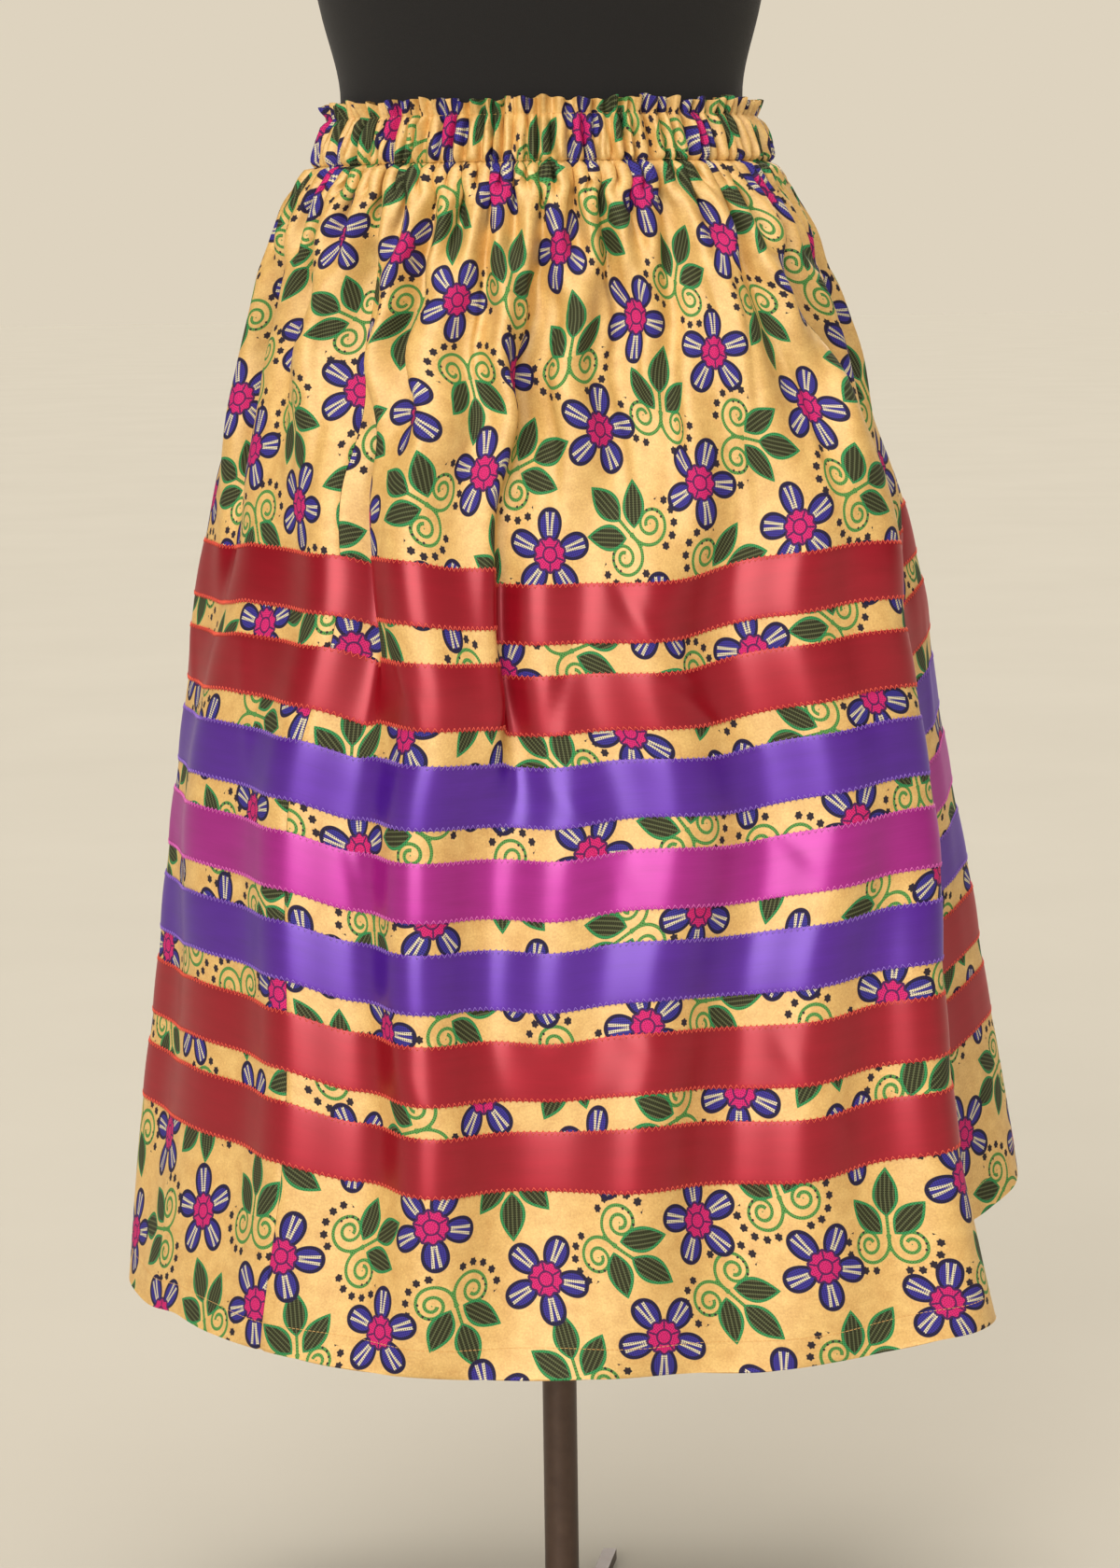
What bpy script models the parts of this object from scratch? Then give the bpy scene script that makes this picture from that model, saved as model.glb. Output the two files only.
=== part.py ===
"""A gathered ribbon skirt, worn by a limbless dress form on a four-legged stand.

Metres, +Z up, and the front of the skirt faces -Y. The origin is on the floor, at the middle of the stand's foot.

The skirt is a straight cut of cloth that is gathered into an elastic waist. Its surface is worked out in two steps:
1. A plain outline for each depth below the waist seam, which widens from the waist's ellipse to the hem's outline.
2. The folds. Along the cloth, a tilt angle says how far the cloth turns away from that outline. The tilt of every
   gather and fold is scaled at each depth until the whole width of the cloth fits round the outline.
"""

import math

import bmesh
import bpy
import numpy as np

MM = 0.001
COLLECTION = "ribbon_skirt_on_form"

# ---- Driving dimensions, in metres unless the name says otherwise ----
SEAM_HEIGHT = 1.040  # the lower stitch line of the waist casing, above the floor
WAIST_HALF_WIDTH = 0.1485
WAIST_HALF_DEPTH = 0.1135
PANEL_LENGTH = 0.775  # from the waist seam to the hem, along the cloth
CASING_TAPER = 0.935  # the casing's size at its upper stitch line, as a share of its size at the seam
CASING_HEIGHT = 0.029  # between the casing's two stitch lines, round a 25 mm elastic
HEADER_HEIGHT = 0.010  # the free ruffle above the upper stitch line
RIBBON_COUNT = 7
RIBBON_WIDTH = 0.0381
RIBBON_PITCH = 0.0581
FIRST_RIBBON = 0.269  # from the waist seam to the first ribbon's top edge, along the cloth
SIDE_SEAM_AT = -0.228  # along the cloth from the middle of the front; the other seam is half the cut away

CLOTH_WALL = 0.0012
CASING_WALL = 0.0016
RIBBON_WALL = 0.0010
SEAM_GAP = 0.0003

# The hem's outline seen from above, round from the middle of the front towards the wearer's left (+X).
HEM_OUTLINE = (  # (across_mm, back_mm)
    (17, -197), (90, -186), (145, -177), (200, -164), (241, -154), (274, -140), (289, -104),
    (276, -58), (258, -8), (256, 42), (276, 90), (310, 124), (334, 155), (334, 196),
    (306, 232), (256, 240), (205, 226), (150, 230), (100, 256), (48, 260), (0, 236), (-52, 232),
    (-104, 254), (-152, 250), (-196, 214), (-240, 184), (-276, 140), (-292, 90), (-299, 35),
    (-286, -12), (-262, -51), (-232, -99), (-180, -145), (-137, -173), (-84, -191),
)
# How far the outline has widened from waist to hem, at each depth below the waist seam.
FLARE = (  # (down_mm, share)
    (0, 0.0), (20, 0.05), (45, 0.12), (90, 0.205), (150, 0.335), (230, 0.485), (290, 0.57),
    (400, 0.69), (500, 0.775), (630, 0.885), (775, 1.0),
)
# How far the two sides of the outline stand out past that, at each depth.
SIDES = (  # (down_mm, left_mm, right_mm)
    (0, 1, 1), (20, 8, 6), (45, 7, 10), (75, 4, 11), (110, -2, 9), (150, -6, 8), (200, -7, 10), (270, -9, 11),
    (320, -6, 6), (400, -2, 1), (480, -2, 0), (570, -6, -6), (650, -5, -8), (720, -2, -4), (775, 0, 0),
)
# Where the cloth hangs higher than its outline alone would put it.
LIFTS = (  # (from_mm, to_mm, edge_mm, lift_mm, grows_from_mm, full_at_mm, fades_from_mm, fades_to_mm)
    (-600, -207, 28, 6, 0, 200, 600, 775),
    (-375, -207, 28, 6, 0, 200, 600, 775),
    (-345, -184, 14, 3.5, 0, 200, 300, 440),
    (-184, -40, 10, 11, 0, 200, 285, 450),
    (-184, -108, 25, 5.5, 0, 200, 285, 345),
    (20, 105, 40, 6.5, 280, 430, 590, 690),
    (150, 420, 45, 8, 0, 200, 380, 640),
    (90, 330, 40, -6, 540, 720, 900, 1000),
    (-470, -345, 25, -6, 640, 760, 900, 1000),
)
# Waves of the gathered cloth, from the small gathers of the casing to the soft pleats they run into.
GATHERS = (  # (waves_round, grows_from_mm, full_from_mm, full_until_mm, gone_at_mm, tilt)
    (96, -90, -60, 4, 34, 1.0),
    (48, 2, 26, 34, 100, 0.9),
    (24, 26, 80, 105, 255, 0.50),
)
# Soft ridges of the hanging cloth.
RIDGES = (  # (top_at_mm, low_at_mm, half_width_mm, from_mm, to_mm, tilt)
    (-128, -100, 30, 150, 775, 0.42),
    (8, -14, 26, 200, 600, 0.26),
    (102, 40, 34, 190, 775, 0.34),
    (232, 160, 34, 170, 775, 0.32),
    (300, 262, 26, 170, 775, 0.24),
    (-238, -230, 30, 170, 775, 0.26),
    (-345, -345, 34, 170, 775, 0.10),
    (-470, -455, 30, 170, 775, 0.26),
    (640, 650, 34, 190, 775, 0.30),
    (1010, 1015, 32, 170, 775, 0.30),
    (1330, 1345, 30, 170, 775, 0.28),
)
# The large folds. Each tucks cloth behind one edge. Lean +1 hides it behind the cloth before it, -1 behind the next.
FOLDS = (  # (top_at_mm, low_at_mm, half_width_mm, lean, from_mm, to_mm, tilt)
    (-196, -180, 15, -1, 50, 400, 1.05),
    (-146, -134, 12, -1, 40, 215, 0.80),
    (-28, -47, 17, 1, 60, 455, 1.25),
    (8, 18, 9, 1, 50, 170, 0.50),
    (62, 66, 9, -1, 60, 190, 0.60),
    (158, 112, 14, -1, 25, 290, 1.05),
    (290, 244, 10, 1, 40, 200, 0.70),
    (310, 238, 11, -1, 90, 270, 0.60),
    (392, 340, 14, 1, 50, 330, 0.85),
    (470, 450, 18, -1, 60, 560, 1.05),
    (560, 556, 13, 1, 50, 350, 0.85),
    (660, 668, 14, -1, 60, 380, 0.85),
    (760, 770, 16, 1, 70, 560, 1.00),
    (850, 856, 12, -1, 50, 330, 0.80),
    (935, 945, 17, 1, 60, 600, 1.10),
    (1030, 1032, 13, -1, 50, 360, 0.80),
    (1120, 1128, 17, 1, 60, 600, 1.10),
    (1205, 1212, 12, -1, 60, 340, 0.75),
    (1290, 1302, 16, 1, 70, 560, 1.00),
    (1370, 1390, 13, -1, 50, 370, 0.80),
    (1450, 1478, 13, 1, 50, 330, 0.75),
    (1535, 1535, 12, -1, 60, 240, 0.60),
)
MOST_TILT = 2.1  # radians: how far a fold may turn back under itself
MOST_TILT_AT_WAIST = 1.12
MOST_SCALE = 2.2
WAIST_PUCKER = 0.50  # the gathers' depth at the casing, as a share of what the cut width would need
FADE = 80 * MM  # how far a fold takes to grow and to fade, down the cloth
FOLD_LEVELLING = 42 * MM  # folds wider than this follow the outline, so that only narrower ones stand out of it
SAMPLES = 4096  # samples round the cloth where its curve is integrated

# Rows of the walls, by their distance below the waist seam.
GATHER_ROWS_MM = (0, 12)
PLEAT_ROWS_MM = (30, 55)
FOLD_ROWS_MM = (90, 135, 185, 235)
HEM_ROWS_MM = (715, 775)
GATHER_COLUMNS = 192  # round the whole skirt: a ridge and a valley for each of the 96 gathers
PLEAT_COLUMNS = 96  # a ridge and a valley for each of the 48 pleats
FOLD_COLUMNS = 96
PANEL_COLUMNS = 78
COLUMN_CLUSTERING = 0.035  # how much closer together columns come where the cloth bends
MOST_MITRE = 1.7

# The dress form and its stand.
FORM_SECTIONS = (  # (height_mm, half_width_mm, half_depth_mm, forward_mm)
    (742, 156, 116, 2), (750, 164, 122, 2), (800, 167, 125, 1), (860, 163, 122, 0),
    (930, 151, 112, 0), (985, 147, 109.5, 0), (1040, 144, 109, 0), (1075, 133, 100.3, 0),
    (1140, 144, 109, 5), (1200, 158, 119, 12), (1255, 168, 125, 17), (1310, 170, 121, 15),
    (1365, 172, 108, 7), (1405, 168, 90, 0), (1435, 144, 72, -5), (1455, 104, 60, -8),
    (1475, 68, 55, -8), (1500, 57, 54, -4), (1535, 55, 54, 2),
)
FORM_COLUMNS = 28
POLE_RADIUS = 0.0118
POLE_SIDES = 24
LEG_LENGTH = 0.230
LEG_WIDTH = 0.010
LEG_HEIGHT = 0.008
LEG_COUNT = 4
LEG_TURN = math.radians(9)
HUB_RADIUS = 0.024
HUB_HEIGHT = 0.034

COLOURS = {  # (red, green, blue, roughness, metallic), linear
    "print_cotton": (0.83, 0.55, 0.20, 0.75, 0.0),
    "satin_red": (0.37, 0.012, 0.025, 0.32, 0.0),
    "satin_purple": (0.085, 0.022, 0.30, 0.32, 0.0),
    "satin_magenta": (0.36, 0.018, 0.27, 0.32, 0.0),
    "form_jersey": (0.012, 0.012, 0.013, 0.90, 0.0),
    "stand_metal": (0.045, 0.030, 0.024, 0.45, 0.6),
}
RIBBON_SATINS = ("red", "red", "purple", "magenta", "purple", "red", "red")


# ---- The shape of the cloth ----
def smooth_step(value, low, high):
    share = np.clip((value - low) / (high - low), 0.0, 1.0)
    return share * share * (3.0 - 2.0 * share)


def on_curve(table, column, down):
    """A column of a table whose first column is a depth in mm, read at one depth on a smooth curve."""
    rows = np.array(table, float)
    at, value = rows[:, 0] * MM, rows[:, column]
    slope = np.gradient(value, at)
    down = np.clip(down, 0.0, at[-1])
    row = np.clip(np.searchsorted(at, down, side="right") - 1, 0, len(at) - 2)
    step = at[row + 1] - at[row]
    x = (down - at[row]) / step
    return (
        (1 + 2 * x) * (1 - x) ** 2 * value[row] + x * (1 - x) ** 2 * step * slope[row]
        + x * x * (3 - 2 * x) * value[row + 1] + x * x * (x - 1) * step * slope[row + 1]
    )


def flare(down):
    """The share of the way from waist to hem that the outline has widened."""
    return on_curve(FLARE, 1, down)


def outline_at(down):
    """The cloth's plain outline at one depth, seen from above."""
    share = flare(down)
    outline = WAIST_CURVE * (1 - share) + HEM_CURVE * share
    for side, column in ((-1, 1), (1, 2)):
        reach = (side * outline[:, 0]).max()
        outline[:, 0] += side * on_curve(SIDES, column, down) * MM * np.maximum(side * outline[:, 0] / reach, 0.0)
    return evenly_spaced(outline, SAMPLES)


def evenly_spaced(curve, count):
    closed = np.vstack([curve, curve[:1]])
    along = np.concatenate([[0.0], np.cumsum(np.linalg.norm(np.diff(closed, axis=0), axis=1))])
    wanted = np.linspace(0.0, along[-1], count, endpoint=False)
    return np.column_stack([np.interp(wanted, along, closed[:, axis]) for axis in (0, 1)])


def closed_curve(points, count):
    """A closed Catmull-Rom curve through the points, at count places evenly spaced along it, from the first point."""
    dense = []
    for index in range(len(points)):
        before, start, end, after = (points[(index + step) % len(points)] for step in (-1, 0, 1, 2))
        for x in np.linspace(0.0, 1.0, 24, endpoint=False):
            dense.append(
                0.5 * (2 * start + (end - before) * x + (2 * before - 5 * start + 4 * end - after) * x**2
                       + (3 * start - before - 3 * end + after) * x**3)
            )
    return evenly_spaced(np.array(dense), count)


def length_of(curve):
    return float(np.linalg.norm(np.roll(curve, -1, axis=0) - curve, axis=1).sum())


def blurred(values, width):
    """Values round the cloth, with detail finer than the width smoothed away."""
    waves = np.fft.rfftfreq(SAMPLES, CUT_WIDTH / SAMPLES)
    return np.fft.irfft(np.fft.rfft(values) * np.exp(-2 * (math.pi * waves * width) ** 2), SAMPLES)


def periodic(table, where):
    """The table's values at places that may lie between two of them or past the table's end."""
    whole = np.floor(where).astype(int)
    part = where - whole
    if table.ndim == 2:
        part = part[:, None]
    return table[whole % len(table)] * (1 - part) + table[(whole + 1) % len(table)] * part


def uneven(along):
    """A turn round the skirt at a place along the cloth, pushed to and fro so that no two gathers are the same."""
    turn = 2 * math.pi * along / CUT_WIDTH
    return turn + 0.016 * np.sin(5 * turn + 0.7) + 0.009 * np.sin(13 * turn + 2.1) + 0.006 * np.sin(29 * turn + 0.3)


HEM_CURVE = closed_curve(np.array(HEM_OUTLINE) * MM, SAMPLES)
CUT_WIDTH = length_of(HEM_CURVE)
WAIST_CURVE = evenly_spaced(
    np.array([
        (WAIST_HALF_WIDTH * math.sin(turn), -WAIST_HALF_DEPTH * math.cos(turn))
        for turn in np.linspace(0.0, 2 * math.pi, SAMPLES, endpoint=False)
    ]), SAMPLES,
)
ALONG = np.arange(SAMPLES) * CUT_WIDTH / SAMPLES  # along the cloth, from the middle of the front
SPREAD = blurred(np.linalg.norm(HEM_CURVE - WAIST_CURVE, axis=1), 25 * MM)
FLARE_STEPS = np.linspace(0.0, PANEL_LENGTH, 311)
FLARE_RATES = np.gradient(flare(FLARE_STEPS), FLARE_STEPS)


def away_from(place):
    return (ALONG - place + CUT_WIDTH / 2) % CUT_WIDTH - CUT_WIDTH / 2


def tilt_pattern(down):
    """How far the cloth turns away from its outline at one depth, all the way round, before it is scaled to fit."""
    turn = uneven(ALONG) - uneven(SIDE_SEAM_AT)
    tilt = np.zeros(SAMPLES)
    for waves, grows_mm, full_mm, until_mm, gone_mm, strength in GATHERS:
        weight = smooth_step(down, grows_mm * MM, full_mm * MM)
        weight *= 1.0 - smooth_step(down, until_mm * MM, gone_mm * MM)
        swell = 1.0 + 0.22 * np.sin(3 * turn + waves) * np.cos(7 * turn)
        tilt += strength * weight * swell * np.sin(waves * turn)
    for top_mm, low_mm, half_mm, from_mm, to_mm, strength in RIDGES:
        weight = smooth_step(down, (from_mm - 40) * MM, (from_mm + 60) * MM)
        weight *= 1.0 - smooth_step(down, (to_mm - 60) * MM, (to_mm + 20) * MM)
        share = np.clip((down / MM - from_mm) / (to_mm - from_mm), 0.0, 1.0)
        away = away_from((top_mm + (low_mm - top_mm) * share) * MM) / (half_mm * MM)
        tilt -= strength * weight * away * np.exp(0.5 - 0.5 * away**2)
    for top_mm, low_mm, half_mm, lean, from_mm, to_mm, strength in FOLDS:
        fade = min(FADE, (to_mm - from_mm) * MM / 2)
        weight = smooth_step(down, from_mm * MM - fade / 4, from_mm * MM + fade)
        weight *= 1.0 - smooth_step(down, to_mm * MM - 1.6 * fade, to_mm * MM)
        share = np.clip((down / MM - from_mm) / (to_mm - from_mm), 0.0, 1.0)
        away = away_from((top_mm + (low_mm - top_mm) * share) * MM)
        tilt -= lean * strength * weight * np.exp(-((away / (half_mm * MM * (0.8 + 0.4 * share))) ** 2))
    return tilt


def lifted(down):
    """How much higher each place along the cloth hangs at one depth."""
    lift = np.zeros(SAMPLES)
    for from_mm, to_mm, edge_mm, lift_mm, grows_mm, full_mm, fades_mm, gone_mm in LIFTS:
        middle, half = (from_mm + to_mm) / 2, (to_mm - from_mm) / 2
        away = np.abs(away_from(middle * MM)) / MM
        share = 1.0 - smooth_step(away, half - edge_mm, half + edge_mm)
        share *= smooth_step(down, grows_mm * MM, full_mm * MM)
        share *= 1.0 - smooth_step(down, fades_mm * MM, gone_mm * MM)
        lift += lift_mm * MM * share
    return lift


def folded(down):
    """The cloth's closed curve at one depth below the seam: x and y, its height, and its tilt."""
    outline = outline_at(down)
    round_it = length_of(outline)
    step = CUT_WIDTH / SAMPLES
    pattern = tilt_pattern(down)
    most = MOST_TILT_AT_WAIST + (MOST_TILT - MOST_TILT_AT_WAIST) * smooth_step(down, 85 * MM, 175 * MM)
    low, high = 0.0, MOST_SCALE
    for _ in range(30):
        scale = (low + high) / 2
        tilt = most * np.tanh(scale * pattern / most)
        if np.cos(tilt).sum() * step > round_it:
            low = scale
        else:
            high = scale
    stride = np.cos(tilt) * round_it / np.cos(tilt).sum()
    advance = np.concatenate([[0.0], np.cumsum(stride)[:-1]])
    lag = advance - np.arange(SAMPLES) * round_it / SAMPLES
    advance -= lag.mean()
    outward = np.cumsum(np.sin(tilt) - np.sin(tilt).mean()) * step
    outward -= blurred(outward, FOLD_LEVELLING)
    outward *= WAIST_PUCKER + (1 - WAIST_PUCKER) * smooth_step(down, -10 * MM, 60 * MM)
    tangent = np.roll(outline, -1, axis=0) - np.roll(outline, 1, axis=0)
    tangent /= np.linalg.norm(tangent, axis=1)[:, None]
    normal = np.column_stack([blurred(tangent[:, 1], 12 * MM), -blurred(tangent[:, 0], 12 * MM)])
    where = advance / round_it * SAMPLES
    flat = periodic(outline, where) + periodic(normal, where) * outward[:, None]
    drop = np.minimum(FLARE_STEPS, down)
    slope = np.sqrt(1 - np.minimum(SPREAD[:, None] * FLARE_RATES[None, :], 0.9) ** 2)
    fallen = ((slope[:, 1:] + slope[:, :-1]) / 2 * np.diff(drop)[None, :]).sum(axis=1)
    height = SEAM_HEIGHT - fallen
    lift = lifted(down)
    return np.column_stack([flat, periodic(height, where) + lift]), tilt


# ---- Rows of the walls ----
def seam_places():
    """The two side seams, along the cloth: the second is half the gathers round from the first."""
    turns = uneven(ALONG) - uneven(SIDE_SEAM_AT)
    second = float(np.interp(math.pi, turns, ALONG))
    return SIDE_SEAM_AT, second


def wave_columns(count):
    turns = uneven(np.linspace(-CUT_WIDTH, 2 * CUT_WIDTH, 3 * SAMPLES))
    places = np.linspace(-CUT_WIDTH, 2 * CUT_WIDTH, 3 * SAMPLES)
    wanted = uneven(SIDE_SEAM_AT) + 2 * math.pi * np.arange(count) / count
    return np.interp(wanted, turns, places)


def fold_columns(rows_mm, count):
    """Columns from the first seam round to it again, closer together where the cloth bends."""
    bend = np.zeros(SAMPLES)
    for row_mm in rows_mm:
        _, tilt = folded(row_mm * MM)
        bend += np.abs(np.gradient(tilt, CUT_WIDTH / SAMPLES)) / len(rows_mm)
    density = 1.0 + COLUMN_CLUSTERING * blurred(bend, 6 * MM)
    first, second = seam_places()
    columns = []
    for start, end in ((first, second), (second, first + CUT_WIDTH)):
        places = np.linspace(start, end, 1200)
        filled = np.cumsum(periodic(density, places / CUT_WIDTH * SAMPLES))
        wanted = np.linspace(filled[0], filled[-1], count // 2, endpoint=False)
        columns.extend(np.interp(wanted, filled, places))
    return np.array(columns)


def ring_row(down, columns):
    """One row of a wall: where its middle line runs, and which way and how far its faces lie from it."""
    curve, _ = folded(down)
    points = periodic(curve, columns / CUT_WIDTH * SAMPLES)
    ahead = np.roll(points[:, :2], -1, axis=0) - points[:, :2]
    ahead /= np.linalg.norm(ahead, axis=1)[:, None]
    side = np.column_stack([ahead[:, 1], -ahead[:, 0]])
    bisector = side + np.roll(side, 1, axis=0)
    bisector /= np.linalg.norm(bisector, axis=1)[:, None]
    stretch = np.minimum(1.0 / np.maximum((bisector * side).sum(axis=1), 0.3), MOST_MITRE)
    return {"down": down, "columns": columns, "points": points, "normals": bisector * stretch[:, None]}


def face_of(row, distance):
    """The row's points, moved out from its middle line."""
    points = row["points"].copy()
    points[:, :2] += row["normals"] * distance
    return points


def part_of(row, layer, first, second):
    """The piece of a row from one seam to the other, stopping short of each seam."""
    columns = row["columns"]
    inside = (columns > first + 1e-6) & (columns < second - 1e-6)
    start = int(np.argmin(np.abs(columns - first)))
    count = int(inside.sum()) + 2
    picked = [layer[(start + step) % len(columns)] for step in range(count)]
    places = [columns[(start + step) % len(columns)] for step in range(count)]
    places[0], places[-1] = first, second
    ends = ((0, 1), (-1, -2))
    for end, beside in ends:
        chord = picked[beside] - picked[end]
        picked[end] = picked[end] + chord / np.linalg.norm(chord) * SEAM_GAP / 2
    return np.array(picked), np.array(places)


# ---- Solids ----
def material(name):
    red, green, blue, roughness, metallic = COLOURS[name]
    made = bpy.data.materials.get(name) or bpy.data.materials.new(name)
    made.use_nodes = True
    shader = made.node_tree.nodes["Principled BSDF"]
    shader.inputs["Base Color"].default_value = (red, green, blue, 1.0)
    shader.inputs["Roughness"].default_value = roughness
    shader.inputs["Metallic"].default_value = metallic
    made.diffuse_color = (red, green, blue, 1.0)
    return made


def solid(name, points, faces, surface, collection):
    """A closed mesh object whose faces point outwards."""
    mesh = bpy.data.meshes.new(name)
    mesh.from_pydata([tuple(float(value) for value in point) for point in points], [], faces)
    work = bmesh.new()
    work.from_mesh(mesh)
    bmesh.ops.recalc_face_normals(work, faces=work.faces)
    bmesh.ops.triangulate(work, faces=work.faces, quad_method="FIXED")
    if work.calc_volume(signed=True) < 0:
        bmesh.ops.reverse_faces(work, faces=work.faces)
    work.to_mesh(mesh)
    work.free()
    mesh.materials.append(material(surface))
    made = bpy.data.objects.new(name, mesh)
    collection.objects.link(made)
    return made


def zipped(upper, lower, upper_places, lower_places, closed):
    """Triangles that join two rows of vertices, in the order that their places along the cloth come."""
    faces = []
    top = len(upper) if closed else len(upper) - 1
    low = len(lower) if closed else len(lower) - 1
    round_it = CUT_WIDTH
    at_top = at_low = 0

    def place(places, index):
        return places[index % len(places)] + (round_it if index >= len(places) else 0.0)

    while at_top < top or at_low < low:
        next_top = place(upper_places, at_top + 1) if at_top < top else math.inf
        next_low = place(lower_places, at_low + 1) if at_low < low else math.inf
        corner_top, corner_low = upper[at_top % len(upper)], lower[at_low % len(lower)]
        if next_top < next_low - 1e-9:
            faces.append((corner_top, upper[(at_top + 1) % len(upper)], corner_low))
            at_top += 1
        elif next_low < next_top - 1e-9:
            faces.append((corner_top, lower[(at_low + 1) % len(lower)], corner_low))
            at_low += 1
        else:
            over, under = upper[(at_top + 1) % len(upper)], lower[(at_low + 1) % len(lower)]
            faces.append((corner_top, over, under))
            faces.append((corner_top, under, corner_low))
            at_top += 1
            at_low += 1
    return faces


def wall(rows, closed):
    """Points and faces of a wall. Each row gives its inner points, its outer points and their places."""
    points, faces, inner, outer = [], [], [], []
    for inside, outside, _ in rows:
        inner.append(list(range(len(points), len(points) + len(inside))))
        points.extend(inside)
        outer.append(list(range(len(points), len(points) + len(outside))))
        points.extend(outside)
    for index in range(len(rows) - 1):
        places = (rows[index][2], rows[index + 1][2])
        faces += zipped(outer[index], outer[index + 1], *places, closed)
        faces += [face[::-1] for face in zipped(inner[index], inner[index + 1], *places, closed)]
    for index in (0, len(rows) - 1):
        count = len(inner[index])
        for step in range(count if closed else count - 1):
            after = (step + 1) % count
            edge = (inner[index][step], inner[index][after], outer[index][after], outer[index][step])
            faces.append(edge if index == 0 else edge[::-1])
    if not closed:
        for end in (0, -1):
            for index in range(len(rows) - 1):
                edge = (inner[index][end], outer[index][end], outer[index + 1][end], inner[index + 1][end])
                faces.append(edge if end == 0 else edge[::-1])
    return points, faces


def skirt_rows():
    """Every row of the panels, from the waist seam down."""
    gathers = wave_columns(GATHER_COLUMNS)
    pleats = wave_columns(PLEAT_COLUMNS)
    folds = fold_columns(FOLD_ROWS_MM, FOLD_COLUMNS)
    ribbons_mm = []
    for index in range(RIBBON_COUNT):
        top = (FIRST_RIBBON + index * RIBBON_PITCH) / MM
        ribbons_mm += [top, top + RIBBON_WIDTH / MM]
    hanging_mm = tuple(ribbons_mm) + HEM_ROWS_MM
    hanging = fold_columns(hanging_mm, PANEL_COLUMNS)
    rows = [ring_row(row_mm * MM, gathers) for row_mm in GATHER_ROWS_MM]
    rows += [ring_row(row_mm * MM, pleats) for row_mm in PLEAT_ROWS_MM]
    rows += [ring_row(row_mm * MM, folds) for row_mm in FOLD_ROWS_MM]
    rows += [ring_row(row_mm * MM, hanging) for row_mm in hanging_mm]
    return rows


def make_panels(rows, collection):
    first, second = seam_places()
    for name, start, end in (("skirt_front", first, second), ("skirt_back", second, first + CUT_WIDTH)):
        cut = []
        for row in rows:
            inside, places = part_of(row, face_of(row, -CLOTH_WALL / 2), start, end)
            outside, _ = part_of(row, face_of(row, CLOTH_WALL / 2), start, end)
            cut.append((inside, outside, places))
        solid(name, *wall(cut, False), "print_cotton", collection)


def make_ribbons(rows, collection):
    inner = CLOTH_WALL / 2 + SEAM_GAP
    first_row = len(GATHER_ROWS_MM) + len(PLEAT_ROWS_MM) + len(FOLD_ROWS_MM)
    for index in range(RIBBON_COUNT):
        pair = rows[first_row + 2 * index:first_row + 2 * index + 2]
        band = [(face_of(row, inner), face_of(row, inner + RIBBON_WALL), row["columns"]) for row in pair]
        solid(f"ribbon_{index + 1}", *wall(band, True), f"satin_{RIBBON_SATINS[index]}", collection)


def make_casing(collection):
    """The casing's ring, with its free ruffle above the upper stitch line."""
    columns = wave_columns(GATHER_COLUMNS)
    levels = (  # height above the seam, size, depth of the gathers and how far the wall swells outwards
        (SEAM_GAP, 1.0, 1.0, 0.0),
        (SEAM_GAP + CASING_HEIGHT / 2, (1 + CASING_TAPER) / 2, 0.9, 0.0012),
        (SEAM_GAP + CASING_HEIGHT, CASING_TAPER, 1.0, 0.0),
        (SEAM_GAP + CASING_HEIGHT + HEADER_HEIGHT, CASING_TAPER, 1.25, 0.0010),
    )
    seam = ring_row(0.0, columns)
    outline = periodic(WAIST_CURVE, seam_share(columns) * SAMPLES)
    band = []
    for height, size, depth, swell in levels:
        row = {"points": seam["points"].copy(), "columns": columns}
        row["points"][:, :2] = outline * size + (seam["points"][:, :2] - outline) * depth
        row["points"][:, 2] = SEAM_HEIGHT + height
        row["normals"] = seam["normals"]
        band.append((face_of(row, swell - CASING_WALL / 2), face_of(row, swell + CASING_WALL / 2), columns))
    solid("waist_casing", *wall(band, True), "print_cotton", collection)


def seam_share(columns):
    """How far round the waist each column lies, as a share of the whole."""
    curve, _ = folded(0.0)
    points = periodic(curve, columns / CUT_WIDTH * SAMPLES)[:, :2]
    turns = np.arctan2(points[:, 0] / WAIST_HALF_WIDTH, -points[:, 1] / WAIST_HALF_DEPTH)
    waist_turns = np.unwrap(np.arctan2(WAIST_CURVE[:, 0] / WAIST_HALF_WIDTH, -WAIST_CURVE[:, 1] / WAIST_HALF_DEPTH))
    return np.interp(turns % (2 * math.pi), waist_turns, np.arange(SAMPLES) / SAMPLES, period=2 * math.pi)


def loft(sections):
    """Points and faces of a closed body through rings of equal counts, with a flat face at each end."""
    count = len(sections[0])
    points = [point for section in sections for point in section]
    faces = [tuple(range(count))[::-1], tuple(range(len(points) - count, len(points)))]
    for index in range(len(sections) - 1):
        for step in range(count):
            after = (step + 1) % count
            low, high = index * count, (index + 1) * count
            faces.append((low + step, low + after, high + after, high + step))
    return points, faces


def make_form(collection):
    sections = []
    for height_mm, width_mm, depth_mm, forward_mm in FORM_SECTIONS:
        ring = []
        for index in range(FORM_COLUMNS):
            turn = 2 * math.pi * index / FORM_COLUMNS
            across, back = math.sin(turn), -math.cos(turn)
            ring.append((width_mm * MM * across, (depth_mm * back - forward_mm) * MM, height_mm * MM))
        sections.append(ring)
    solid("form_torso", *loft(sections), "form_jersey", collection)


def ring(radius, height, sides):
    return [
        (radius * math.cos(2 * math.pi * index / sides), radius * math.sin(2 * math.pi * index / sides), height)
        for index in range(sides)
    ]


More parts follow.
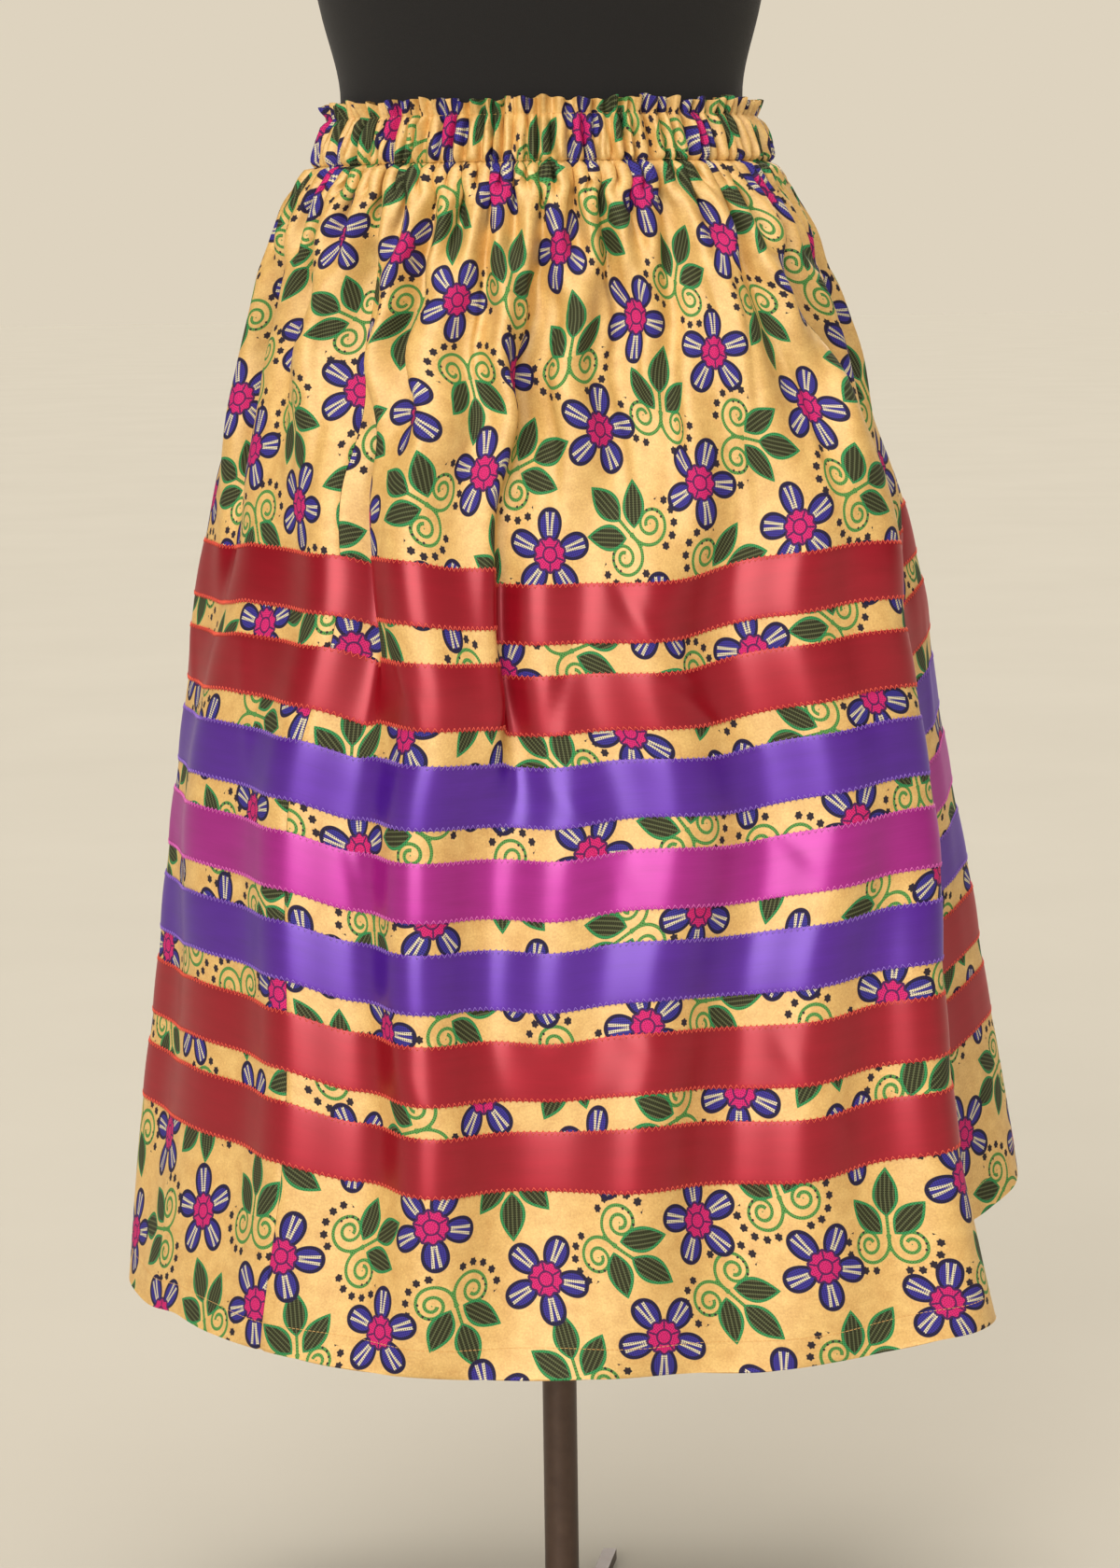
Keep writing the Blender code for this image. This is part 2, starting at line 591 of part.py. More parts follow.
def make_stand(collection):
    pole_top = FORM_SECTIONS[0][0] * MM - SEAM_GAP
    pole_foot = LEG_HEIGHT + SEAM_GAP
    solid(
        "stand_pole", *loft([ring(POLE_RADIUS, pole_foot, POLE_SIDES), ring(POLE_RADIUS, pole_top, POLE_SIDES)]),
        "stand_metal", collection,
    )
    bore = POLE_RADIUS + SEAM_GAP
    collar = []
    for height in (pole_foot + HUB_HEIGHT, pole_foot):
        inside, outside = ring(bore, height, POLE_SIDES), ring(HUB_RADIUS * 0.8, height, POLE_SIDES)
        collar.append((np.array(inside), np.array(outside), np.arange(POLE_SIDES) * CUT_WIDTH / POLE_SIDES))
    solid("stand_collar", *wall(collar, True), "stand_metal", collection)
    outline = []
    for leg in range(LEG_COUNT):
        turn = LEG_TURN + 2 * math.pi * leg / LEG_COUNT
        forward, across = np.array((math.sin(turn), math.cos(turn))), np.array((math.cos(turn), -math.sin(turn)))
        root = math.sqrt(HUB_RADIUS**2 - (LEG_WIDTH / 2) ** 2)
        for reach, offset in ((root, -1), (LEG_LENGTH, -1), (LEG_LENGTH, 1), (root, 1)):
            outline.append(forward * reach + across * offset * LEG_WIDTH / 2)
        for step in (1, 2, 3):
            bend = turn + 2 * math.pi / LEG_COUNT * step / 4
            outline.append(np.array((math.sin(bend), math.cos(bend))) * HUB_RADIUS)
    sections = [[(point[0], point[1], height) for point in outline] for height in (0.0, LEG_HEIGHT)]
    solid("stand_foot", *loft(sections), "stand_metal", collection)


def main():
    for made in list(bpy.data.objects):
        bpy.data.objects.remove(made, do_unlink=True)
    for group in list(bpy.data.collections):
        bpy.data.collections.remove(group)
    collection = bpy.data.collections.new(COLLECTION)
    bpy.context.scene.collection.children.link(collection)
    rows = skirt_rows()
    make_panels(rows, collection)
    make_casing(collection)
    make_ribbons(rows, collection)
    make_form(collection)
    make_stand(collection)


main()
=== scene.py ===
"""Looks of a gathered ribbon skirt on a limbless dress form.

Metres, +Z up, the front of the skirt faces -Y. The cloth is worked out as the CAD source does it: a plain outline for
each depth below the waist seam, and a tilt angle along the cloth that folds the whole cut width to fit it.
"""

import math

import bpy
import numpy as np
from mathutils import Euler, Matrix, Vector


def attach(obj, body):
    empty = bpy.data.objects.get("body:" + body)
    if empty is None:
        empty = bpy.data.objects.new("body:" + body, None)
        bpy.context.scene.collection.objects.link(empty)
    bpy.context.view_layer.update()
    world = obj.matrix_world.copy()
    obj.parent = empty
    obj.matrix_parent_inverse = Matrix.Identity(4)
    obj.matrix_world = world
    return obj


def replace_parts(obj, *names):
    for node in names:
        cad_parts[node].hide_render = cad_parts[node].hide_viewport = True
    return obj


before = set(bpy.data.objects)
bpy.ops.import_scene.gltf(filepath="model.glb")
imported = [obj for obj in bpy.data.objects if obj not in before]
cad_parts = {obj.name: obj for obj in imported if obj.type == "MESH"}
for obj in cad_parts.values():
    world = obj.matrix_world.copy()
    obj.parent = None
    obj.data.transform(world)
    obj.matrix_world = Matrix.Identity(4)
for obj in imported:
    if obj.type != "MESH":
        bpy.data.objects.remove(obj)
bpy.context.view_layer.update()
MM = 0.001

# ---- Driving dimensions of the cloth, as in the CAD source ----
SEAM_HEIGHT = 1.040
WAIST_HALF_WIDTH = 0.1485
WAIST_HALF_DEPTH = 0.1135
PANEL_LENGTH = 0.775
CASING_TAPER = 0.935
CASING_HEIGHT = 0.029
HEADER_HEIGHT = 0.010
RIBBON_WIDTH = 0.0381
RIBBON_PITCH = 0.0581
FIRST_RIBBON = 0.269
SIDE_SEAM_AT = -0.228
CLOTH_WALL = 0.0012
CASING_WALL = 0.0016
SEAM_GAP = 0.0003
RIBBON_SATINS = ("red", "red", "purple", "magenta", "purple", "red", "red")

HEM_OUTLINE = (  # (across_mm, back_mm)
    (17, -197), (90, -186), (145, -177), (200, -164), (241, -154), (274, -140), (289, -104),
    (276, -58), (258, -8), (256, 42), (276, 90), (310, 124), (334, 155), (334, 196),
    (306, 232), (256, 240), (205, 226), (150, 230), (100, 256), (48, 260), (0, 236), (-52, 232),
    (-104, 254), (-152, 250), (-196, 214), (-240, 184), (-276, 140), (-292, 90), (-299, 35),
    (-286, -12), (-262, -51), (-232, -99), (-180, -145), (-137, -173), (-84, -191),
)
FLARE = (  # (down_mm, share)
    (0, 0.0), (20, 0.05), (45, 0.12), (90, 0.205), (150, 0.335), (230, 0.485), (290, 0.57),
    (400, 0.69), (500, 0.775), (630, 0.885), (775, 1.0),
)
SIDES = (  # (down_mm, left_mm, right_mm)
    (0, 1, 1), (20, 8, 6), (45, 7, 10), (75, 4, 11), (110, -2, 9), (150, -6, 8), (200, -7, 10), (270, -9, 11),
    (320, -6, 6), (400, -2, 1), (480, -2, 0), (570, -6, -6), (650, -5, -8), (720, -2, -4), (775, 0, 0),
)
LIFTS = (  # (from_mm, to_mm, edge_mm, lift_mm, grows_from_mm, full_at_mm, fades_from_mm, fades_to_mm)
    (-600, -207, 28, 6, 0, 200, 600, 775),
    (-375, -207, 28, 6, 0, 200, 600, 775),
    (-345, -184, 14, 3.5, 0, 200, 300, 440),
    (-184, -40, 10, 11, 0, 200, 285, 450),
    (-184, -108, 25, 5.5, 0, 200, 285, 345),
    (20, 105, 40, 6.5, 280, 430, 590, 690),
    (150, 420, 45, 8, 0, 200, 380, 640),
    (90, 330, 40, -6, 540, 720, 900, 1000),
    (-470, -345, 25, -6, 640, 760, 900, 1000),
)
GATHERS = (  # (waves_round, grows_from_mm, full_from_mm, full_until_mm, gone_at_mm, tilt)
    (96, -90, -60, 4, 34, 1.0),
    (48, 2, 26, 34, 100, 0.9),
    (24, 26, 80, 105, 255, 0.50),
)
RIDGES = (  # (top_at_mm, low_at_mm, half_width_mm, from_mm, to_mm, tilt)
    (-128, -100, 30, 150, 775, 0.42),
    (8, -14, 26, 200, 600, 0.26),
    (102, 40, 34, 190, 775, 0.34),
    (232, 160, 34, 170, 775, 0.32),
    (300, 262, 26, 170, 775, 0.24),
    (-238, -230, 30, 170, 775, 0.26),
    (-345, -345, 34, 170, 775, 0.10),
    (-470, -455, 30, 170, 775, 0.26),
    (640, 650, 34, 190, 775, 0.30),
    (1010, 1015, 32, 170, 775, 0.30),
    (1330, 1345, 30, 170, 775, 0.28),
)
FOLDS = (  # (top_at_mm, low_at_mm, half_width_mm, lean, from_mm, to_mm, tilt)
    (-196, -180, 15, -1, 50, 400, 1.05),
    (-146, -134, 12, -1, 40, 215, 0.80),
    (-28, -47, 17, 1, 60, 455, 1.25),
    (8, 18, 9, 1, 50, 170, 0.50),
    (62, 66, 9, -1, 60, 190, 0.60),
    (158, 112, 14, -1, 25, 290, 1.05),
    (290, 244, 10, 1, 40, 200, 0.70),
    (310, 238, 11, -1, 90, 270, 0.60),
    (392, 340, 14, 1, 50, 330, 0.85),
    (470, 450, 18, -1, 60, 560, 1.05),
    (560, 556, 13, 1, 50, 350, 0.85),
    (660, 668, 14, -1, 60, 380, 0.85),
    (760, 770, 16, 1, 70, 560, 1.00),
    (850, 856, 12, -1, 50, 330, 0.80),
    (935, 945, 17, 1, 60, 600, 1.10),
    (1030, 1032, 13, -1, 50, 360, 0.80),
    (1120, 1128, 17, 1, 60, 600, 1.10),
    (1205, 1212, 12, -1, 60, 340, 0.75),
    (1290, 1302, 16, 1, 70, 560, 1.00),
    (1370, 1390, 13, -1, 50, 370, 0.80),
    (1450, 1478, 13, 1, 50, 330, 0.75),
    (1535, 1535, 12, -1, 60, 240, 0.60),
)
MOST_TILT = 2.1
MOST_TILT_AT_WAIST = 1.12
MOST_SCALE = 2.2
WAIST_PUCKER = 0.50
FADE = 80 * MM
FOLD_LEVELLING = 42 * MM
TILT_GROWS = (85 * MM, 175 * MM)  # depths between which the most tilt grows from the waist's to the skirt's
PUCKER_GROWS = (-10 * MM, 60 * MM)
NORMAL_BLUR = 12 * MM
SPREAD_BLUR = 25 * MM
SAMPLES = 4096  # places round the cloth at which it is worked out

FORM_SECTIONS = (  # (height_mm, half_width_mm, half_depth_mm, forward_mm)
    (742, 156, 116, 2), (750, 164, 122, 2), (800, 167, 125, 1), (860, 163, 122, 0),
    (930, 151, 112, 0), (985, 147, 109.5, 0), (1040, 144, 109, 0), (1075, 133, 100.3, 0),
    (1140, 144, 109, 5), (1200, 158, 119, 12), (1255, 168, 125, 17), (1310, 170, 121, 15),
    (1365, 172, 108, 7), (1405, 168, 90, 0), (1435, 144, 72, -5), (1455, 104, 60, -8),
    (1475, 68, 55, -8), (1500, 57, 54, -4), (1535, 55, 54, 2),
)
POLE_RADIUS = 0.0118
LEG_HEIGHT = 0.008

# ---- Finer form that only the looks have ----
SEAM_WAVES = 96  # gathers round the waist seam
PUFF_TOP = 6 * MM  # depth at which the panels stand out furthest below the seam, and where that ends
PUFF_END = 52 * MM
PUFF_RISE = 1.6 * MM
RUCK_RISE = 3.0 * MM
SEAM_PINCH = 1.4 * MM
PINCH_HALF = 1.6 * MM  # how far the seam's pinch reaches on a panel, and each stitch line's on the casing
CASING_PINCH_HALF = 1.1 * MM
SIDE_SEAM_DIP = 1.0 * MM
SIDE_SEAM_HALF = 2.2 * MM
CREASES = (  # (along_mm, down_mm, to_along_mm, to_down_mm, half_width_mm, height_mm); troughs are below zero
    (-150, 60, -142, 210, 5, -2.4), (-128, 90, -120, 250, 6, 2.7), (-82, 70, -70, 190, 5, 2.4),
    (-24, 60, -18, 230, 6, 2.7), (16, 80, 24, 250, 6, -2.7), (66, 70, 78, 235, 6, 2.7),
    (104, 60, 98, 180, 5, -2.2), (186, 70, 172, 255, 6, 2.7), (214, 60, 196, 200, 5, -2.4),
    (252, 80, 232, 250, 6, 2.4), (-222, 90, -214, 240, 6, 2.4), (-262, 80, -256, 250, 7, -2.7),
    (-310, 60, -300, 230, 6, 2.4), (-380, 80, -372, 260, 7, -2.7), (-440, 60, -432, 220, 6, 2.4),
    (340, 70, 330, 250, 6, -2.7), (430, 60, 424, 230, 6, 2.4), (520, 80, 512, 260, 7, -2.7),
    (610, 60, 612, 220, 6, 2.4), (705, 80, 712, 250, 7, -2.7), (805, 60, 812, 240, 6, 2.4),
    (890, 80, 898, 260, 7, -2.7), (985, 60, 990, 220, 6, 2.4), (1075, 80, 1082, 250, 7, -2.7),
    (1160, 60, 1170, 240, 6, 2.4), (1250, 80, 1258, 260, 7, -2.7), (1330, 60, 1338, 230, 6, 2.4),
    (1410, 80, 1420, 250, 7, -2.7), (1500, 60, 1505, 230, 6, 2.4),
    (60, 262, 118, 345, 7, 1.2), (36, 300, -4, 372, 6, -1.1), (88, 330, 150, 392, 6, 1.2),
    (-40, 330, -86, 402, 7, 1.1), (-150, 300, -118, 380, 6, 1.0), (130, 420, 186, 470, 6, 1.0),
    (-12, 392, 48, 470, 8, 0.9), (-196, 420, -160, 500, 7, 0.9), (20, 540, 90, 600, 8, 0.8),
    (-130, 560, -84, 640, 8, 0.8), (150, 560, 210, 640, 8, 0.8),
    (470, 300, 520, 380, 7, 1.1), (600, 340, 560, 430, 7, 1.0), (760, 300, 810, 380, 7, 1.1),
    (900, 380, 860, 470, 8, 0.9), (1060, 300, 1110, 390, 7, 1.1), (1240, 340, 1200, 430, 7, 1.0),
    (1400, 300, 1450, 380, 7, 1.1), (-330, 330, -290, 410, 7, 1.0), (-470, 420, -430, 500, 8, 0.9),
)


# ---- The shape of the cloth ----
def smooth_step(value, low, high):
    """0 up to the low end and 1 from the high end, with a smooth rise between them."""
    share = np.clip((value - low) / (high - low), 0.0, 1.0)
    return share * share * (3.0 - 2.0 * share)


def window(value, grows, full, fades, gone):
    """0 at first, 1 from full to fades, and 0 again from gone."""
    return smooth_step(value, grows, full) * (1.0 - smooth_step(value, fades, gone))


def unit(vectors):
    """The same directions, each with a length of 1."""
    return vectors / np.linalg.norm(vectors, axis=-1)[..., None]


def between_rows(at, values, where):
    """What smooth curves through the values at some places give at others. Values may have several columns."""
    slope = np.gradient(values, at, axis=0)
    row = np.clip(np.searchsorted(at, where, side="right") - 1, 0, len(at) - 2)
    step = at[row + 1] - at[row]
    x = (where - at[row]) / step
    if values.ndim == 2:
        step, x = step[:, None], x[:, None]
    return (
        (1 + 2 * x) * (1 - x) ** 2 * values[row] + x * (1 - x) ** 2 * step * slope[row]
        + x * x * (3 - 2 * x) * values[row + 1] + x * x * (x - 1) * step * slope[row + 1]
    )


def on_curve(table, column, down):
    """A column of a table whose first column is a depth in mm, read at one depth on a smooth curve."""
    rows = np.array(table, float)
    at = rows[:, 0] * MM
    return between_rows(at, rows[:, column], np.clip(down, 0.0, at[-1]))


def flare(down):
    """The share of the way from waist to hem that the outline has widened."""
    return on_curve(FLARE, 1, down)


def outline_at(down):
    """The cloth's plain outline at one depth, seen from above."""
    share = flare(down)
    outline = WAIST_CURVE * (1 - share) + HEM_CURVE * share
    for side, column in ((-1, 1), (1, 2)):
        reach = (side * outline[:, 0]).max()
        outline[:, 0] += side * on_curve(SIDES, column, down) * MM * np.maximum(side * outline[:, 0] / reach, 0.0)
    return evenly_spaced(outline, SAMPLES)


def evenly_spaced(curve, count):
    closed = np.vstack([curve, curve[:1]])
    along = np.concatenate([[0.0], np.cumsum(np.linalg.norm(np.diff(closed, axis=0), axis=1))])
    wanted = np.linspace(0.0, along[-1], count, endpoint=False)
    return np.column_stack([np.interp(wanted, along, closed[:, axis]) for axis in (0, 1)])


def closed_curve(points, count):
    """A closed Catmull-Rom curve through the points, at count places evenly spaced along it."""
    dense = []
    for index in range(len(points)):
        before, start, end, after = (points[(index + step) % len(points)] for step in (-1, 0, 1, 2))
        for x in np.linspace(0.0, 1.0, 24, endpoint=False):
            dense.append(
                0.5 * (2 * start + (end - before) * x + (2 * before - 5 * start + 4 * end - after) * x**2
                       + (3 * start - before - 3 * end + after) * x**3)
            )
    return evenly_spaced(np.array(dense), count)


def length_of(curve):
    return float(np.linalg.norm(np.roll(curve, -1, axis=0) - curve, axis=1).sum())


def blurred(values, width):
    """Values round the cloth, with detail finer than the width smoothed away."""
    waves = np.fft.rfftfreq(SAMPLES, CUT_WIDTH / SAMPLES)
    return np.fft.irfft(np.fft.rfft(values) * np.exp(-2 * (math.pi * waves * width) ** 2), SAMPLES)


def periodic(table, where):
    whole = np.floor(where).astype(int)
    part = where - whole
    if table.ndim == 2:
        part = part[:, None]
    return table[whole % len(table)] * (1 - part) + table[(whole + 1) % len(table)] * part


def uneven(along):
    """A turn round the skirt at a place along the cloth, pushed to and fro so that no two gathers are the same."""
    turn = math.tau * along / CUT_WIDTH
    return turn + 0.016 * np.sin(5 * turn + 0.7) + 0.009 * np.sin(13 * turn + 2.1) + 0.006 * np.sin(29 * turn + 0.3)


HEM_CURVE = closed_curve(np.array(HEM_OUTLINE) * MM, SAMPLES)
CUT_WIDTH = length_of(HEM_CURVE)
WAIST_TURNS = np.linspace(0.0, math.tau, SAMPLES, endpoint=False)
WAIST_CURVE = evenly_spaced(
    np.column_stack([WAIST_HALF_WIDTH * np.sin(WAIST_TURNS), -WAIST_HALF_DEPTH * np.cos(WAIST_TURNS)]), SAMPLES
)
ALONG = np.arange(SAMPLES) * CUT_WIDTH / SAMPLES
SPREAD = blurred(np.linalg.norm(HEM_CURVE - WAIST_CURVE, axis=1), SPREAD_BLUR)
FLARE_STEPS = np.linspace(0.0, PANEL_LENGTH, 311)
FLARE_RATES = np.gradient(flare(FLARE_STEPS), FLARE_STEPS)
SLOPES = np.sqrt(1 - np.minimum(SPREAD[:, None] * FLARE_RATES[None, :], 0.9) ** 2)


def away_from(place, along=ALONG):
    return (along - place + CUT_WIDTH / 2) % CUT_WIDTH - CUT_WIDTH / 2


def tilt_pattern(down):
    """How far the cloth turns away from its outline at one depth, all the way round, before it is scaled to fit."""
    turn = uneven(ALONG) - uneven(SIDE_SEAM_AT)
    tilt = np.zeros(SAMPLES)
    for waves, grows_mm, full_mm, until_mm, gone_mm, strength in GATHERS:
        weight = window(down, grows_mm * MM, full_mm * MM, until_mm * MM, gone_mm * MM)
        swell = 1.0 + 0.22 * np.sin(3 * turn + waves) * np.cos(7 * turn)
        tilt += strength * weight * swell * np.sin(waves * turn)
    for top_mm, low_mm, half_mm, from_mm, to_mm, strength in RIDGES:
        weight = window(down, *(mm * MM for mm in (from_mm - 40, from_mm + 60, to_mm - 60, to_mm + 20)))
        share = np.clip((down / MM - from_mm) / (to_mm - from_mm), 0.0, 1.0)
        away = away_from((top_mm + (low_mm - top_mm) * share) * MM) / (half_mm * MM)
        tilt -= strength * weight * away * np.exp(0.5 - 0.5 * away**2)
    for top_mm, low_mm, half_mm, lean, from_mm, to_mm, strength in FOLDS:
        fade = min(FADE, (to_mm - from_mm) * MM / 2)
        weight = window(down, from_mm * MM - fade / 4, from_mm * MM + fade, to_mm * MM - 1.6 * fade, to_mm * MM)
        share = np.clip((down / MM - from_mm) / (to_mm - from_mm), 0.0, 1.0)
        away = away_from((top_mm + (low_mm - top_mm) * share) * MM)
        tilt -= lean * strength * weight * np.exp(-((away / (half_mm * MM * (0.8 + 0.4 * share))) ** 2))
    return tilt


def lifted(down):
    """How much higher each place along the cloth hangs at one depth."""
    lift = np.zeros(SAMPLES)
    for from_mm, to_mm, edge_mm, lift_mm, grows_mm, full_mm, fades_mm, gone_mm in LIFTS:
        middle, half = (from_mm + to_mm) / 2, (to_mm - from_mm) / 2
        away = np.abs(away_from(middle * MM)) / MM
        share = 1.0 - smooth_step(away, half - edge_mm, half + edge_mm)
        share *= smooth_step(down, grows_mm * MM, full_mm * MM)
        share *= 1.0 - smooth_step(down, fades_mm * MM, gone_mm * MM)
        lift += lift_mm * MM * share
    return lift


def folded(down):
    """The cloth's closed curve at one depth below the seam."""
    outline = outline_at(down)
    round_it = length_of(outline)
    step = CUT_WIDTH / SAMPLES
    pattern = tilt_pattern(down)
    most = MOST_TILT_AT_WAIST + (MOST_TILT - MOST_TILT_AT_WAIST) * smooth_step(down, *TILT_GROWS)
    low, high = 0.0, MOST_SCALE
    for _ in range(30):
        scale = (low + high) / 2
        tilt = most * np.tanh(scale * pattern / most)
        if np.cos(tilt).sum() * step > round_it:
            low = scale
        else:
            high = scale
    stride = np.cos(tilt) * round_it / np.cos(tilt).sum()
    advance = np.concatenate([[0.0], np.cumsum(stride)[:-1]])
    lag = advance - np.arange(SAMPLES) * round_it / SAMPLES
    advance -= lag.mean()
    outward = np.cumsum(np.sin(tilt) - np.sin(tilt).mean()) * step
    outward -= blurred(outward, FOLD_LEVELLING)
    outward *= WAIST_PUCKER + (1 - WAIST_PUCKER) * smooth_step(down, *PUCKER_GROWS)
    tangent = unit(np.roll(outline, -1, axis=0) - np.roll(outline, 1, axis=0))
    normal = np.column_stack([blurred(tangent[:, 1], NORMAL_BLUR), -blurred(tangent[:, 0], NORMAL_BLUR)])
    where = advance / round_it * SAMPLES
    flat = periodic(outline, where) + periodic(normal, where) * outward[:, None]
    drop = np.minimum(FLARE_STEPS, down)
    fallen = (SLOPES[:, 1:] + SLOPES[:, :-1]) / 2 @ np.diff(drop)
    height = SEAM_HEIGHT - fallen
    return np.column_stack([flat, periodic(height, where) + lifted(down)])


def seam_places():
    """The two side seams, along the cloth: the second is half the gathers round from the first."""
    turns = uneven(ALONG) - uneven(SIDE_SEAM_AT)
    return SIDE_SEAM_AT, float(np.interp(math.pi, turns, ALONG))


FIRST_SEAM, SECOND_SEAM = seam_places()


def waves_of(turn, *rows):
    """A sum of sines round the waist, from rows of how many, how strong and how far round."""
    return sum(strength * np.sin(count * turn + phase) for count, strength, phase in rows)


def crests(phase, sharpness):
    """Waves with broad crests and narrow troughs, a crest where the phase is half a turn."""
    return (0.5 - 0.5 * np.cos(phase)) ** sharpness - 0.62


def creased(down, along, seams):
    """How far fine creases, and the troughs at the seams, push the cloth out at a grid of places."""
    height = np.zeros((len(down), len(along)))
    for start_mm, down_mm, end_mm, to_down_mm, half_mm, high_mm in CREASES:
        run, fall = (end_mm - start_mm) * MM, (to_down_mm - down_mm) * MM
        span = math.hypot(run, fall)
        x = away_from(start_mm * MM, along)[None, :]
        y = (down - down_mm * MM)[:, None]
        share = (x * run + y * fall) / span**2
        aside = (x * fall - y * run) / span / (half_mm * MM)
        ends = window(share, -0.12, 0.3, 0.7, 1.12)
        height += high_mm * MM * ends * np.exp(-(aside**2))
    if seams:
        turn = uneven(along) - uneven(SIDE_SEAM_AT)
        ruck = crests(SEAM_WAVES * turn, 0.55) * (1.0 + 0.45 * waves_of(turn, (17, 0.6, 0.4), (31, 0.7, 1.9)))
        ruck = ruck + 0.2 * waves_of(turn, (139, 1.0, 0.0), (201, 0.8, 2.0))
        puff = window(down, 0.0, PUFF_TOP, PUFF_TOP * 1.3, PUFF_END)
        height += puff[:, None] * (PUFF_RISE + RUCK_RISE * ruck)[None, :]
        height -= SEAM_PINCH * np.exp(-((down / PINCH_HALF) ** 2))[:, None]
        for seam in (FIRST_SEAM, SECOND_SEAM):
            height -= SIDE_SEAM_DIP * np.exp(-((away_from(seam, along) / SIDE_SEAM_HALF) ** 2))[None, :]
    return height


def surface(down, along, seams=False):
    """The cloth's middle at a grid of places, and the way out of it."""
    down, along = np.asarray(down, float), np.asarray(along, float)
    where = along / CUT_WIDTH * SAMPLES
    points, across = [], []
    for depth in down:
        curve = folded(depth)
        points.append(periodic(curve, where))
        across.append(periodic(curve, where + 2.5) - periodic(curve, where - 2.5))
    points, across = np.array(points), np.array(across)
    outward = unit(np.cross(np.gradient(points, down, axis=0), across))
    return points + outward * creased(down, along, seams)[:, :, None], outward


# ---- Meshes ----
BAKE_PAD = 0.004  # left free round each part of a baked picture
RIM_SHARE = 0.02  # of its size that a wall's rim keeps there
BAR_SECTION = ((-1, -0.3), (1, -0.3), (0, 0.7))  # a thread's corners, in half widths aside and heights up


def add_object(name, data):
    made = bpy.data.objects.new(name, data)
    bpy.context.scene.collection.objects.link(made)
    return made


def mesh_piece(name, points, faces, surfaces, body="root", kinds=None, maps=None, sharp=50):
    """A smooth-shaded mesh object that rides a body. maps gives each face corner's place on each UV map."""
    mesh = bpy.data.meshes.new(name)
    mesh.from_pydata(np.asarray(points).tolist(), [], faces)
    for surfacing in surfaces:
        mesh.materials.append(surfacing)
    if kinds is not None:
        mesh.polygons.foreach_set("material_index", np.asarray(kinds, dtype=np.int32))
    for map_name, places in (maps or {}).items():
        layer = mesh.uv_layers.new(name=map_name)
        layer.data.foreach_set("uv", np.asarray(places, dtype=np.float32).ravel())
    mesh.polygons.foreach_set("use_smooth", np.ones(len(mesh.polygons), dtype=bool))
    mesh.set_sharp_from_angle(angle=math.radians(sharp))
    made = add_object(name, mesh)
    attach(made, body)
    return made


def shell(name, outer, inner, down, along, closed, surfaces, shift=(0.0, 0.0), bake=None):
    """A closed wall between two grids of points. Its outside has the first material and its inside the last.

    bake is the share of a baked picture that the outside gets. Without it, no map for baking is made.
    """
    rows, columns = outer.shape[:2]
    spans = columns if closed else columns - 1
    r, c = np.meshgrid(np.arange(rows - 1), np.arange(spans), indexing="ij")
    corners = np.stack([
        np.stack([r, c], -1), np.stack([r + 1, c], -1), np.stack([r + 1, c + 1], -1), np.stack([r, c + 1], -1)
    ], axis=2).reshape(-1, 4, 2)
    sides = [(corners, np.zeros((len(corners), 4), int)), (corners[:, ::-1], np.ones((len(corners), 4), int))]
    line = np.arange(spans)
    for row in (0, rows - 1):
        edge = np.stack([np.stack([np.full(spans, row), line + step], -1) for step in (0, 1, 1, 0)], axis=1)
        layer = np.tile([0, 0, 1, 1], (spans, 1))
        sides.append((edge, layer) if row == 0 else (edge[:, ::-1], layer[:, ::-1]))
    if not closed:
        line = np.arange(rows - 1)
        for column in (0, columns - 1):
            edge = np.stack([np.stack([line + step, np.full(rows - 1, column)], -1) for step in (0, 0, 1, 1)], axis=1)
            layer = np.tile([0, 1, 1, 0], (rows - 1, 1))
            sides.append((edge, layer) if column == 0 else (edge[:, ::-1], layer[:, ::-1]))
    grid, layer = (np.concatenate(parts) for parts in zip(*sides))
    kinds = np.zeros(len(grid), int)
    kinds[len(corners):2 * len(corners)] = len(surfaces) - 1
    points = np.concatenate([outer.reshape(-1, 3), inner.reshape(-1, 3)])
    faces = layer * rows * columns + grid[:, :, 0] * columns + grid[:, :, 1] % columns
    along = np.append(along, along[0] + CUT_WIDTH) if closed else along
    shifts = np.broadcast_to(shift, (len(along), 2))[grid[:, :, 1]]
    cloth = np.stack([along[grid[:, :, 1]], np.asarray(down)[grid[:, :, 0]]], axis=-1) + shifts
    maps = {"Cloth": cloth}
    if bake:
        u = (along - along[0]) / (along[-1] - along[0])
        v = (np.asarray(down) - down[0]) / (down[-1] - down[0])
        places = np.stack([u[grid[:, :, 1]], 1 - v[grid[:, :, 0]]], axis=-1)
        low = np.where(layer == 0, 1 - bake, 0.0)
        high = np.where(layer == 0, 1.0, 1 - bake)
        places[:, :, 0] = BAKE_PAD + places[:, :, 0] * (1 - 2 * BAKE_PAD)
        places[:, :, 1] = low + BAKE_PAD + places[:, :, 1] * (high - low - 2 * BAKE_PAD)
        for index in range(2 * len(corners), len(grid)):
            mean = places[index][layer[index] == 0].mean(axis=0)
            places[index] = mean + (places[index] - mean) * RIM_SHARE
            places[index][layer[index] == 1] = mean
        maps["OFBake"] = places
    return mesh_piece(name, points, faces.tolist(), surfaces, kinds=kinds, maps=maps)


